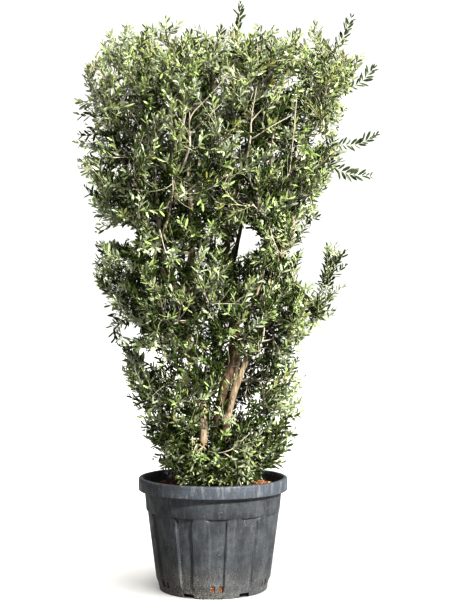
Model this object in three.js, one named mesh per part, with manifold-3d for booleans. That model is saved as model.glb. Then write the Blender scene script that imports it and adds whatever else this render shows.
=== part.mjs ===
// An olive bush about 2.4 m tall, grown as a clump of four stems in a ribbed nursery pot of about 85 litres.
// The crown widens upwards like a vase, is clipped nearly flat on top, and has leaves down to the rim.
// Millimetres, +Z up. The origin is the middle of the pot's flat underside. -Y is the side seen first.

import * as THREE from "three";
import { mergeVertices } from "three/addons/utils/BufferGeometryUtils.js";
import Module from "manifold-3d";

const wasm = await Module();
wasm.setup();

// Pot
const POT_HEIGHT = 448;
const FOOT_RADIUS = 217;
const WALL = 4;
const RIM = { radius: 300, depth: 50, lip: 17, edge: 7, skirt: 4 };
const COLLAR = { foot: 318, footRadius: 269, topRadius: 276, step: 10 };
const RIBS = { count: 12, turn: -10.5, bulge: 8, foot: 26, shoulder: 18 };
const NOTCH = { width: 46, height: 17, depth: 34 };
const SLOT = { width: 17, height: 26, apart: 32, foot: 26, depth: 30 };

// Soil, root crown and the gap that touching pieces keep
const GAP = 0.3;
const SOIL_TOP = 413;
const SOIL_EDGE_DIP = 6;
const SOIL_FLAT_RADIUS = 200;
const ROOT_CROWN = { footRadius: 110, topRadius: 90, height: 45, columns: 20, lobes: 5, lobeShare: 0.07 };
const STEM_FOOT = SOIL_TOP + GAP + ROOT_CROWN.height + GAP;

// The leafy crown's outline: height, furthest left, furthest right, and reach to the front and to the back
const OUTLINE = [
  [422, -205, 235, 180],
  [510, -240, 310, 230],
  [650, -290, 345, 255],
  [800, -340, 355, 285],
  [950, -375, 340, 305],
  [1090, -415, 430, 330],
  [1180, -445, 430, 345],
  [1260, -470, 345, 360],
  [1400, -475, 375, 380],
  [1560, -485, 435, 405],
  [1700, -540, 500, 430],
  [1950, -562, 520, 450],
  [2090, -555, 600, 450],
  [2200, -455, 520, 400],
  [2240, -400, 380, 340],
];
const OUTLINE_POWER = 2.5;

// Long shoots that stand out of the outline: foot, tip, and how far their leaves reach
const SHOOTS = [
  { foot: [88, -20, 2215], tip: [110, -20, 2350], spread: 26 },
  { foot: [490, -15, 2170], tip: [556, -15, 2296], spread: 34 },
  { foot: [560, 10, 2020], tip: [648, 10, 2096], spread: 30 },
  { foot: [500, -20, 1785], tip: [655, -20, 1822], spread: 36 },
  { foot: [470, 0, 1705], tip: [632, 0, 1660], spread: 36 },
  { foot: [435, -20, 1110], tip: [500, -20, 1345], spread: 62 },
];
const SHOOT_SHARES = [0.05, 0.5, 0.9];

// Gaps where the sky shows right through the crown, as seen from in front: place, half width and half height
const EYE = [48, -5250, 1160];
const SKY_GAPS = [
  { x: 128, z: 1406, halfWidth: 54, halfHeight: 52 },
  { x: 383, z: 1257, halfWidth: 50, halfHeight: 38 },
  { x: -288, z: 889, halfWidth: 40, halfHeight: 50 },
  { x: -235, z: 930, halfWidth: 36, halfHeight: 20 },
  { x: -335, z: 1035, halfWidth: 40, halfHeight: 42 },
  { x: -350, z: 1422, halfWidth: 44, halfHeight: 21 },
  { x: 151, z: 766, halfWidth: 28, halfHeight: 20 },
];

// Stems stand on the root crown, and a bough leaves its parent at the height "from". Radii run foot to tip.
const LIMBS = {
  left_stem: {
    foot: [-42, -25],
    radii: [19, 6.5],
    path: [
      [-45, -25, 760], [-98, -45, 1006], [-114, -70, 1180], [-80, -105, 1400],
      [-95, -130, 1630], [-86, -140, 1900],
    ],
  },
  right_stem: {
    foot: [45, -27],
    radii: [17, 6],
    path: [
      [60, -5, 700], [124, 8, 890], [190, 10, 1050], [235, 5, 1270],
      [322, -5, 1430], [303, -10, 1590], [400, -10, 1880],
    ],
  },
  middle_stem: {
    foot: [2, 22],
    radii: [28, 7],
    path: [
      [36, 38, 750], [84, 45, 970], [74, 32, 1200], [54, 5, 1420],
      [112, -40, 1650], [158, -60, 1860], [166, -60, 1950],
    ],
  },
  back_stem: {
    foot: [-45, 57],
    radii: [14, 6],
    path: [[-30, 110, 700], [0, 160, 900], [90, 240, 1350], [190, 290, 1780], [215, 300, 1880]],
  },
  left_bough: {
    parent: "left_stem",
    from: 1120,
    radii: [10, 5.5],
    path: [[-150, -85, 1215], [-205, -130, 1440], [-224, -155, 1610], [-255, -170, 1827]],
  },
  far_left_bough: {
    parent: "left_stem",
    from: 960,
    radii: [11, 5.5],
    path: [[-205, -50, 1290], [-289, -40, 1564], [-352, -30, 1703], [-400, -25, 1800]],
  },
  front_left_bough: {
    parent: "left_stem",
    from: 880,
    radii: [8, 4.5],
    path: [[-215, -190, 1150], [-238, -230, 1270], [-165, -275, 1490], [-150, -280, 1600]],
  },
  front_right_bough: {
    parent: "right_stem",
    from: 690,
    radii: [9, 5],
    path: [[120, -130, 1010], [200, -200, 1300], [222, -240, 1600], [230, -255, 1780]],
  },
  low_right_bough: {
    parent: "right_stem",
    from: 1030,
    radii: [7.5, 5],
    path: [[320, -20, 1110], [440, -25, 1165]],
  },
  back_left_bough: {
    parent: "back_stem",
    from: 690,
    radii: [11, 5.5],
    path: [[-150, 200, 1080], [-240, 260, 1500], [-290, 280, 1760]],
  },
};
const LIMB_NAMES = Object.keys(LIMBS);
const STEM_SIDES = 8;
const BOUGH_SIDES = 6;
const LIMB_STEP = 110;
const BEAD_SPACING = 12;
const FLARE_SHARE = 0.3;
const FLARE_LENGTH = 60;

// Masses of foliage: the limb that carries each, whether on its tip or its side, and the middle of its space
const MASSES = {
  skirt_left: { limb: "left_stem", centre: [-190, -50, 600] },
  skirt_right: { limb: "right_stem", centre: [200, -20, 570] },
  skirt_front: { limb: "right_stem", centre: [15, -150, 535] },
  skirt_back: { limb: "back_stem", centre: [-20, 190, 600] },
  lower_left: { limb: "left_stem", centre: [-245, -20, 850] },
  lower_right: { limb: "right_stem", centre: [260, 20, 815] },
  lower_front: { limb: "left_stem", centre: [-60, -190, 780] },
  lower_back: { limb: "back_stem", centre: [60, 260, 890] },
  mid_left: { limb: "far_left_bough", centre: [-350, -10, 1170] },
  mid_front_left: { limb: "front_left_bough", centre: [-190, -250, 1090] },
  mid_centre: { limb: "left_stem", centre: [10, -180, 1210] },
  mid_right: { limb: "right_stem", centre: [245, -100, 1090] },
  low_right: { limb: "low_right_bough", tip: true, centre: [455, -20, 1200] },
  mid_back: { limb: "back_stem", centre: [110, 300, 1200] },
  mid_back_left: { limb: "back_left_bough", centre: [-210, 230, 1180] },
  upper_left: { limb: "far_left_bough", centre: [-400, -20, 1500] },
  upper_front_left: { limb: "left_bough", centre: [-240, -200, 1440] },
  upper_front: { limb: "front_left_bough", tip: true, centre: [-130, -330, 1700] },
  upper_centre: { limb: "left_stem", centre: [-10, -110, 1640] },
  upper_front_right: { limb: "front_right_bough", centre: [190, -270, 1500] },
  upper_right: { limb: "right_stem", centre: [380, 0, 1600] },
  upper_back_right: { limb: "back_stem", centre: [220, 290, 1560] },
  upper_back_left: { limb: "back_left_bough", centre: [-190, 250, 1540] },
  top_far_left: { limb: "far_left_bough", tip: true, centre: [-450, -10, 1960] },
  top_front_left: { limb: "left_bough", tip: true, centre: [-280, -220, 2040] },
  top_centre_left: { limb: "left_stem", tip: true, centre: [-90, -100, 2090] },
  top_centre_right: { limb: "middle_stem", tip: true, centre: [165, -60, 2100] },
  top_front_right: { limb: "front_right_bough", tip: true, centre: [270, -270, 1980] },
  top_right: { limb: "right_stem", tip: true, centre: [460, 0, 2050] },
  top_back_right: { limb: "back_stem", tip: true, centre: [250, 280, 2060] },
  top_back_left: { limb: "back_left_bough", tip: true, centre: [-250, 260, 1990] },
};

// The seeded rule that fills a mass. Its stem leads to a small core, and twigs reach from there for points
// spread as far apart as they go. Twigs carry pairs of leaves, and more leaves stand out of the core.
const SEED = 8;
const GRID = { spacing: 36, reach: 8, scatter: 0.45 };
const POINTS_PER_MASS = 6;
const POINT_MARGINS = [35, 25, 12];
const CORE = { share: 0.52, reach: 120, leaves: 12, leafSunk: 0.8, lift: 0.5 };
const DETOUR_COST = 0.15;
const DROOP_COST = 0.6;
const TWIG = { sides: 3, shortest: 45, tipRadius: 3, thickening: 0.34, startLength: 8, startRatio: 1.25 };
const STEM = { sides: 5, radius: 6.5, length: 25, drop: 40 };
const LIMB_CLEARANCE = 6;
const SPACE_MARGIN = 1.5;
const LEAF = { length: 205, width: 82, thickness: 5, widest: 0.45, sunk: 1 };
const LEAF_SIZES = [1, 0.8, 0.62, 0.45];
const LEAF_SPREADS = [0.9, 0.45];
const LEAF_DISTANCE = 16;
const PAIR = { spacing: 90, fromEnd: 14, stagger: 5, wobble: 0.4, lift: 0.15, turn: 0.6 };

const finish = (color, roughness) => new THREE.MeshStandardMaterial({ color, roughness, metalness: 0 });
const BARK = finish(0x8a7a63, 0.9);
const RED_BARK = finish(0x6b4634, 0.95);
const LEAF_GREEN = finish(0x6d7b4b, 0.55);
const BLACK_PLASTIC = finish(0x3f4245, 0.7);
const COMPOST = finish(0x5b3a24, 1);

const vector = (p) => new THREE.Vector3(...p);

// A repeatable stream of numbers from 0 to 1.
function seededNumbers(seed) {
  let state = seed >>> 0;
  return () => {
    state = (state + 0x6d2b79f5) >>> 0;
    let t = Math.imul(state ^ (state >>> 15), state | 1);
    t = (t ^ (t + Math.imul(t ^ (t >>> 7), t | 61))) >>> 0;
    return ((t ^ (t >>> 14)) >>> 0) / 4294967296;
  };
}

function solidOf(geometry) {
  const bare = geometry.clone();
  bare.deleteAttribute("normal");
  bare.deleteAttribute("uv");
  const merged = mergeVertices(bare, 1e-3);
  return new wasm.Manifold(
    new wasm.Mesh({
      numProp: 3,
      vertProperties: new Float32Array(merged.attributes.position.array),
      triVerts: new Uint32Array(merged.index.array),
    }),
  );
}

function geometryOf(solid) {
  const mesh = solid.getMesh();
  const geometry = new THREE.BufferGeometry();
  geometry.setAttribute("position", new THREE.BufferAttribute(mesh.vertProperties, 3));
  geometry.setIndex(new THREE.BufferAttribute(mesh.triVerts, 1));
  geometry.computeVertexNormals();
  return geometry;
}

// The largest closed piece of a solid: loose scraps and sealed hollows are left behind.
function largestPiece(solid) {
  return solid.decompose().reduce((best, piece) => (piece.volume() > best.volume() ? piece : best));
}

function namedMesh(name, solid, material) {
  const mesh = new THREE.Mesh(geometryOf(solid), material);
  mesh.name = name;
  return mesh;
}

// Pot. Each rib takes four columns of the lathe: the feet of its flanks and the two edges of its crown.
const COLUMNS_PER_RIB = [
  { turn: -9, rib: 0 },
  { turn: -6.5, rib: 1 },
  { turn: 6.5, rib: 1 },
  { turn: 9, rib: 0 },
];
const POT_COLUMNS = RIBS.count * COLUMNS_PER_RIB.length;
const RIM_FOOT = POT_HEIGHT - RIM.depth;
const hollowRadius = (z) =>
  THREE.MathUtils.lerp(FOOT_RADIUS, COLLAR.footRadius - COLLAR.step, Math.min(1, z / COLLAR.foot));

// The inside of the wall from the floor up to the lip, with a step out behind the collar.
const INSIDE = [
  { r: hollowRadius(WALL) - WALL, z: WALL },
  { r: hollowRadius(COLLAR.foot) - WALL, z: COLLAR.foot - WALL },
  { r: COLLAR.footRadius - WALL, z: COLLAR.foot + COLLAR.step - WALL },
  { r: COLLAR.topRadius - WALL, z: RIM_FOOT },
  { r: RIM.radius - RIM.lip, z: POT_HEIGHT - 2 },
];

function insideRadius(z) {
  const above = INSIDE.findIndex((row) => row.z >= z);
  const [low, high] = [INSIDE[above - 1], INSIDE[above]];
  return THREE.MathUtils.mapLinear(z, low.z, high.z, low.r, high.r);
}

// Spins a profile of { r, z, ribbed } points round Z on the pot's uneven columns.
function potLathe(profile) {
  const lathe = new THREE.LatheGeometry(profile.map(({ r, z }) => new THREE.Vector2(r, z)), POT_COLUMNS);
  const position = lathe.attributes.position;
  for (let i = 0; i < position.count; i++) {
    const column = Math.floor(i / profile.length) % POT_COLUMNS;
    const { turn, rib } = COLUMNS_PER_RIB[column % COLUMNS_PER_RIB.length];
    const ribIndex = Math.floor(column / COLUMNS_PER_RIB.length);
    const angle = THREE.MathUtils.degToRad(RIBS.turn + turn + (360 / RIBS.count) * ribIndex - 90);
    const { r, z, ribbed = 0 } = profile[i % profile.length];
    const radius = r + RIBS.bulge * ribbed * rib;
    position.setXYZ(i, radius * Math.cos(angle), radius * Math.sin(angle), z);
  }
  return solidOf(lathe);
}

// The rim is a lip with a skirt turned down outside the collar, open underneath.
function potSolid() {
  const ribTop = COLLAR.foot - 3;
  const { radius, edge, skirt } = RIM;
  return potLathe([
    { r: 0, z: 0 },
    { r: FOOT_RADIUS, z: 0 },
    { r: hollowRadius(RIBS.foot), z: RIBS.foot },
    { r: hollowRadius(2 * RIBS.foot), z: 2 * RIBS.foot, ribbed: 1 },
    { r: hollowRadius(ribTop - RIBS.shoulder), z: ribTop - RIBS.shoulder, ribbed: 1 },
    { r: hollowRadius(ribTop), z: ribTop, ribbed: 0.9 },
    { r: COLLAR.footRadius, z: COLLAR.foot },
    { r: COLLAR.topRadius, z: RIM_FOOT },
    { r: COLLAR.topRadius + 3, z: POT_HEIGHT - skirt - edge },
    { r: radius - edge, z: POT_HEIGHT - skirt - edge },
    { r: radius - skirt, z: RIM_FOOT },
    { r: radius, z: RIM_FOOT },
    { r: radius, z: POT_HEIGHT - edge },
    { r: radius - edge, z: POT_HEIGHT },
    ...INSIDE.toReversed(),
    { r: 0, z: WALL },
  ]).subtract(wasm.Manifold.union(potCuts()));
}

// Foot notches under every second hollow, and a pair of drain slots low in each hollow between them.
function potCuts() {
  const cuts = [];
  for (let hollow = 0; hollow < RIBS.count; hollow++) {
    const notched = hollow % 2 === 1;
    for (const offset of notched ? [0] : [-SLOT.apart / 2, SLOT.apart / 2]) {
      const cut = notched
        ? new THREE.BoxGeometry(2 * NOTCH.depth, NOTCH.width, 2 * NOTCH.height)
        : new THREE.BoxGeometry(SLOT.depth, SLOT.width, SLOT.height);
      cut.translate(FOOT_RADIUS, offset, notched ? 0 : SLOT.foot + SLOT.height / 2);
      cut.rotateZ(THREE.MathUtils.degToRad(RIBS.turn + (hollow + 0.5) * (360 / RIBS.count) - 90));
      cuts.push(solidOf(cut));
    }
  }
  return cuts;
}

// The soil fills the pot, a gap away from the wall, and dips a little at its edge.
function soilSolid() {
  const spare = 1.4 * GAP;
  const edge = SOIL_TOP - SOIL_EDGE_DIP;
  const [floor, ...wall] = INSIDE.filter(({ z }) => z < edge).map(({ r, z }) => ({ r: r - spare, z }));
  return potLathe([
    { r: 0, z: WALL + GAP },
    { ...floor, z: WALL + GAP },
    ...wall,
    { r: insideRadius(edge) - spare, z: edge },
    { r: SOIL_FLAT_RADIUS, z: SOIL_TOP },
    { r: 0, z: SOIL_TOP },
  ]);
}

// Root crown: a low flared stool with a lobed edge, which the stems stand on.
function rootCrownSolid() {
  const { footRadius, topRadius, height, columns, lobes, lobeShare } = ROOT_CROWN;
  const foot = SOIL_TOP + GAP;
  const profile = [
    [0, foot],
    [footRadius, foot],
    [topRadius + 6, foot + height * 0.4],
    [topRadius, foot + height],
    [0, foot + height],
  ];
  const lathe = new THREE.LatheGeometry(profile.map(([r, z]) => new THREE.Vector2(r, z)), columns);
  lathe.rotateX(Math.PI / 2);
  const position = lathe.attributes.position;
  for (let i = 0; i < position.count; i++) {
    const angle = Math.atan2(position.getY(i), position.getX(i));
    const swell = 1 + lobeShare * Math.cos(lobes * angle);
    position.setXYZ(i, position.getX(i) * swell, position.getY(i) * swell, position.getZ(i));
  }
  return solidOf(lathe);
}

// Limbs
function limbCurve(name) {
  const { foot, parent, from, path } = LIMBS[name];
  const start = foot ? [...foot, STEM_FOOT] : curvePointAtHeight(curves[parent], from).toArray();
  return new THREE.CatmullRomCurve3([start, ...path].map(vector), false, "centripetal");
}

function curvePointAtHeight(curve, height) {
  const share = [...Array(201).keys()].find((i) => curve.getPointAt(i / 200).z >= height) / 200;
  return curve.getPointAt(share);
}

function limbRadius(name, share) {
  const { foot, radii } = LIMBS[name];
  const plain = THREE.MathUtils.lerp(radii[0], radii[1], share);
  const way = share * curves[name].getLength();
  return foot ? plain + FLARE_SHARE * radii[0] * Math.exp(-way / FLARE_LENGTH) : plain;
}

// A closed tube round rows of { point, radius }. A row of radius 0 makes a pointed end, or closes a flat one.
function taperedTube(rows, sides, levelFoot) {
  const shape = new THREE.LatheGeometry(rows.map((row, i) => new THREE.Vector2(1, i)), sides);
  const position = shape.attributes.position;
  const normal = new THREE.Vector3(0.31, 0.95, 0.05);
  const frames = rows.map((row, i) => {
    const before = rows[Math.max(0, i - 1)].point;
    const after = rows[Math.min(rows.length - 1, i + 1)].point;
    const tangent = levelFoot && i < 2 ? vector([0, 0, 1]) : after.clone().sub(before).normalize();
    normal.addScaledVector(tangent, -normal.dot(tangent)).normalize();
    return { normal: normal.clone(), binormal: new THREE.Vector3().crossVectors(normal, tangent) };
  });
  for (let i = 0; i < position.count; i++) {
    const { point, radius } = rows[i % rows.length];
    const { normal: n, binormal: b } = frames[i % rows.length];
    const place = point.clone();
    place.addScaledVector(n, position.getZ(i) * radius).addScaledVector(b, -position.getX(i) * radius);
    position.setXYZ(i, ...place.toArray());
  }
  return solidOf(shape);
}

function limbRows(name, extra = 0) {
  const curve = curves[name];
  const steps = Math.max(2, Math.round(curve.getLength() / LIMB_STEP));
  return [...Array(steps + 1).keys()].map((i) => ({
    point: curve.getPointAt(i / steps),
    radius: limbRadius(name, i / steps) + extra,
  }));
}

function limbSolid(name, extra) {
  const rows = limbRows(name, extra);
  const ends = [rows[0], rows[rows.length - 1]].map(({ point }) => ({ point, radius: 0 }));
  const isStem = Boolean(LIMBS[name].foot);
  return taperedTube([ends[0], ...rows, ends[1]], isStem ? STEM_SIDES : BOUGH_SIDES, isStem);
}

const curves = {};
const solids = {};
for (const name of LIMB_NAMES) {
  curves[name] = limbCurve(name);
  const whole = limbSolid(name);
  const { parent } = LIMBS[name];
  solids[name] = parent ? largestPiece(whole.subtract(limbSolid(parent, GAP))) : whole;
}

// Points along every limb with the radius there, for keeping twigs and leaves clear.
const LIMB_BEADS = LIMB_NAMES.flatMap((name) => {
  const count = Math.ceil(curves[name].getLength() / BEAD_SPACING);
  return [...Array(count + 1).keys()].map((i) => ({
    name,
    point: curves[name].getPointAt(i / count),
    radius: limbRadius(name, i / count),
  }));
});

// The crown's space
for (const shoot of SHOOTS) shoot.line = new THREE.Line3(vector(shoot.foot), vector(shoot.tip));

function outlineAt(z) {
  const above = OUTLINE.findIndex(([height]) => height > z);
  if (above < 1) return null;
  const [low, high] = [OUTLINE[above - 1], OUTLINE[above]];
  const share = (z - low[0]) / (high[0] - low[0]);
  return low.map((value, i) => THREE.MathUtils.lerp(value, high[i], share));
}

const pointToLine = (p, line) => line.closestPointToPoint(p, true, new THREE.Vector3()).distanceTo(p);

function insideCrown(p, margin) {
  if (SHOOTS.some(({ line, spread }) => pointToLine(p, line) < spread - margin)) return true;
  const level = outlineAt(p.z);
  if (!level) return false;
  const [, left, right, depth] = level;
  const across = Math.abs(p.x - (left + right) / 2) / ((right - left) / 2 - margin);
  const along = Math.abs(p.y) / (depth - margin);
  return across ** OUTLINE_POWER + along ** OUTLINE_POWER < 1;
}

function insideSkyGap(p, margin) {
  const scale = EYE[1] / (EYE[1] - p.y);
  const x = EYE[0] + (p.x - EYE[0]) * scale;
  const z = EYE[2] + (p.z - EYE[2]) * scale;
  return SKY_GAPS.some(({ halfWidth, halfHeight, ...gap }) => {
    const across = (x - gap.x) / (halfWidth + margin);
    return Math.hypot(across, (z - gap.z) / (halfHeight + margin)) < 1;
  });
}

// How far a point lies inside a mass's own space, up to the planes halfway to the other masses' middles.
function depthInSpace(mass, p) {
  const own = p.distanceToSquared(mass.middle);
  const toPlane = ({ middle }) => (p.distanceToSquared(middle) - own) / (2 * mass.middle.distanceTo(middle));
  return Math.min(...Object.values(MASSES).map((other) => (other === mass ? Infinity : toPlane(other))));
}

const clearOfLimbs = (p, margin) =>
  LIMB_BEADS.every(({ point, radius }) => point.distanceTo(p) > radius + margin);

// Near the soil, foliage keeps between the root crown and the pot's rim.
function clearOfRootAndRim(p, margin) {
  const radius = Math.hypot(p.x, p.y);
  const spare = margin + 4;
  const rootRadius = ROOT_CROWN.footRadius * (1 + ROOT_CROWN.lobeShare);
  if (p.z < STEM_FOOT + spare && radius < rootRadius + spare) return false;
  return p.z > POT_HEIGHT + spare || radius < COLLAR.topRadius - WALL - spare;
}

function inOwnSpace(mass, p, margin) {
  return (
    depthInSpace(mass, p) > margin + SPACE_MARGIN &&
    insideCrown(p, margin) &&
    !insideSkyGap(p, margin) &&
    clearOfRootAndRim(p, margin) &&
    clearOfLimbs(p, margin + LIMB_CLEARANCE)
  );
}

// Candidate points of a loose grid round a mass's middle, roomy ones where the space allows.
function looseGrid(mass, random) {
  const { spacing, reach, scatter } = GRID;
  const jitter = () => (2 * random() - 1) * scatter;
  const points = [];
  for (let k = -reach; k <= reach; k++)
    for (let j = -reach; j <= reach; j++)
      for (let i = -reach; i <= reach; i++) {
        const step = new THREE.Vector3(i + jitter(), j + jitter(), k + jitter());
        points.push(mass.middle.clone().addScaledVector(step, spacing));
      }
  const roomy = POINT_MARGINS.map((margin) => points.filter((p) => inOwnSpace(mass, p, margin)));
  return roomy.find((list) => list.length > 3 * POINTS_PER_MASS) || roomy[roomy.length - 1];
}

// The roomiest of a mass's points, where its core sits.
function coreCentre(mass, points) {
  let best = points[0];
  for (let margin = 15; margin < 200; margin += 5) {
    const roomy = points.find((p) => inOwnSpace(mass, p, margin));
    if (!roomy) break;
    best = roomy;
  }
  return best;
}

// Picks points one after another, each as far as it can be from those before, and adds those on long shoots.
function spreadPoints(mass, points, centre) {
  const chosen = [centre];
  const nearest = points.map((p) => p.distanceTo(centre));
  while (chosen.length <= POINTS_PER_MASS) {
    const furthest = nearest.indexOf(Math.max(...nearest));
    chosen.push(points[furthest]);
    points.forEach((p, i) => (nearest[i] = Math.min(nearest[i], p.distanceTo(points[furthest]))));
  }
  for (const { line } of SHOOTS)
    for (const share of SHOOT_SHARES) chosen.push(line.at(share, new THREE.Vector3()));
  return chosen.slice(1).filter((p) => inOwnSpace(mass, p, 6));
}

// How far the core reaches from its centre in a direction: a set share of the way to the edge of the space.
function coreReach(mass, centre, direction) {
  let reach = 10;
  const free = () => inOwnSpace(mass, centre.clone().addScaledVector(direction, reach), 2);
  while (reach < CORE.reach / CORE.share && free()) reach += 5;
  return CORE.share * reach;
}

function coreSolid(mass, centre) {
  const shape = new THREE.OctahedronGeometry(1, 1);
  const position = shape.attributes.position;
  for (let i = 0; i < position.count; i++) {
    const direction = new THREE.Vector3().fromBufferAttribute(position, i).normalize();
    const place = centre.clone().addScaledVector(direction, coreReach(mass, centre, direction));
    position.setXYZ(i, ...place.toArray());
  }
  return solidOf(shape);
}

// The place where a mass's stem leaves its limb: the limb's flat tip, or the point nearest to the core on the
// stretch that runs through the mass's space.
function stemRoot(mass, centre) {
  if (mass.tip) {
    const [before, end] = limbRows(mass.limb).slice(-2);
    const direction = end.point.clone().sub(before.point).normalize();
    const point = end.point.clone().addScaledVector(direction, GAP);
    return { point, direction, length: STEM.length };
  }
  const aim = centre.clone().setZ(centre.z - STEM.drop);
  const lowest = STEM_FOOT + STEM.drop;
  const beads = LIMB_BEADS.filter(
    ({ name, point }) => name === mass.limb && point.z > lowest && depthInSpace(mass, point) > 0,
  );
  if (!beads.length) throw new Error(mass.limb + " does not run through the space of a mass that it carries");
  beads.sort((a, b) => a.point.distanceTo(aim) - b.point.distanceTo(aim));
  const { point, radius } = beads[0];
  return { point, direction: centre.clone().sub(point).normalize(), length: radius + STEM.length };
}

const edgeIsClear = (mass, from, to) =>
  [0.25, 0.5, 0.75, 1].every((share) => inOwnSpace(mass, from.clone().lerp(to, share), 3));

// Joins each target to the nearest twig, counting the way back to the root and any droop as extra length.
function growTwigs(mass, root, centre, targets) {
  const twigs = [
    { point: root.point, parent: -1, way: 0 },
    { point: root.point.clone().addScaledVector(root.direction, root.length), parent: 0, way: 0 },
    { point: centre, parent: 1, way: 0 },
  ];
  for (const point of targets.sort((a, b) => a.distanceTo(centre) - b.distanceTo(centre))) {
    let best = null;
    twigs.forEach((twig, index) => {
      const length = twig.point.distanceTo(point);
      const droop = Math.max(0, twig.point.z - point.z);
      const cost = length + DETOUR_COST * twig.way + DROOP_COST * droop;
      if (index < 2 || length < TWIG.shortest || (best && cost > best.cost)) return;
      if (edgeIsClear(mass, twig.point, point)) best = { cost, index, length };
    });
    if (best) twigs.push({ point, parent: best.index, way: twigs[best.index].way + best.length });
  }
  twigs.forEach((twig, index) => {
    twig.tips = 0;
    twig.children = twigs.filter(({ parent }) => parent === index);
  });
  for (const last of twigs.filter(({ children }) => !children.length))
    for (let twig = last; twig; twig = twigs[twig.parent]) twig.tips += 1;
  for (const { children } of twigs) children.sort((a, b) => b.tips - a.tips);
  return twigs;
}

// Each run follows the strongest child from twig to twig. Every other child starts a run of its own.
function twigRuns(twigs) {
  const runs = [];
  const follow = (start, next) => {
    const run = [start];
    for (let twig = next; twig; twig = twig.children[0]) {
      run.push(twig);
      for (const side of twig.children.slice(1)) follow(twig, side);
    }
    runs.push(run);
  };
  for (const child of twigs[2].children) follow(twigs[2], child);
  return runs;
}

function runSolid(run) {
  const radiusOf = ({ tips }) => TWIG.tipRadius * tips ** TWIG.thickening;
  const startRadius = Math.min(radiusOf(run[0]), radiusOf(run[1]) * TWIG.startRatio);
  const [foot, next] = run.map(({ point }) => point);
  const start = foot.clone().lerp(next, TWIG.startLength / foot.distanceTo(next));
  const rows = [{ point: foot, radius: 0 }, { point: start, radius: startRadius }];
  for (const twig of run.slice(1)) {
    rows.push({ point: twig.point, radius: twig.children.length ? radiusOf(twig) : 0 });
  }
  return taperedTube(rows, TWIG.sides);
}

// A pointed, keeled blade of six faces. Its face is turned outwards.
function leafSolid(foot, along, outward, size) {
  const across = new THREE.Vector3().crossVectors(along, outward).normalize();
  const out = new THREE.Vector3().crossVectors(across, along);
  const rows = [-LEAF.sunk, LEAF.widest * LEAF.length * size, LEAF.length * size];
  const blade = new THREE.LatheGeometry(rows.map((y, i) => new THREE.Vector2(i % 2, y)), 3);
  blade.scale((LEAF.width * size) / Math.sqrt(3), 1, LEAF.thickness / 1.5);
  blade.applyMatrix4(new THREE.Matrix4().makeBasis(across, along, out).setPosition(foot));
  const { array } = blade.attributes.position;
  const corners = [...Array(array.length / 3).keys()].map((i) => new THREE.Vector3().fromArray(array, 3 * i));
  return { solid: solidOf(blade), corners: corners.filter((p) => p.distanceTo(foot) > LEAF.sunk + 1) };
}

// A leaf goes on where it fits: the first of a few sizes and angles that stays in the mass's space and clear
// of the twigs and leaves already there.
function fitLeaf(mass, foot, along, side, outward, lines) {
  for (const spread of LEAF_SPREADS)
    for (const size of LEAF_SIZES) {
      const direction = along.clone().addScaledVector(side, spread).normalize();
      const at = (share) => foot.clone().addScaledVector(direction, share * LEAF.length * size);
      const line = new THREE.Line3(at(0.25), at(0.95));
      const crowded = lines.some((other) => lineDistance(line, other) < LEAF_DISTANCE * size);
      if (crowded) continue;
      const { solid, corners } = leafSolid(foot, direction, outward, size);
      if (corners.every((p) => inOwnSpace(mass, p, 0.5))) return { solid, line };
    }
  return null;
}

const lineDistance = (a, b) =>
  Math.min(...[0, 0.33, 0.67, 1].map((share) => pointToLine(a.at(share, new THREE.Vector3()), b)));

// Directions spread evenly round a ball, along a spiral that turns by the golden angle.
const evenDirections = (count) =>
  [...Array(count).keys()].map((i) => {
    const z = 1 - (2 * i + 1) / count;
    const turn = i * Math.PI * (3 - Math.sqrt(5));
    const level = Math.sqrt(1 - z * z);
    return new THREE.Vector3(level * Math.cos(turn), level * Math.sin(turn), z);
  });

function stemSolid(twigs) {
  const rows = twigs.slice(0, 3).map(({ point }) => ({ point, radius: STEM.radius }));
  const ends = [rows[0], rows[2]].map(({ point }) => ({ point, radius: 0 }));
  return taperedTube([ends[0], ...rows, ends[1]], STEM.sides);
}

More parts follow.
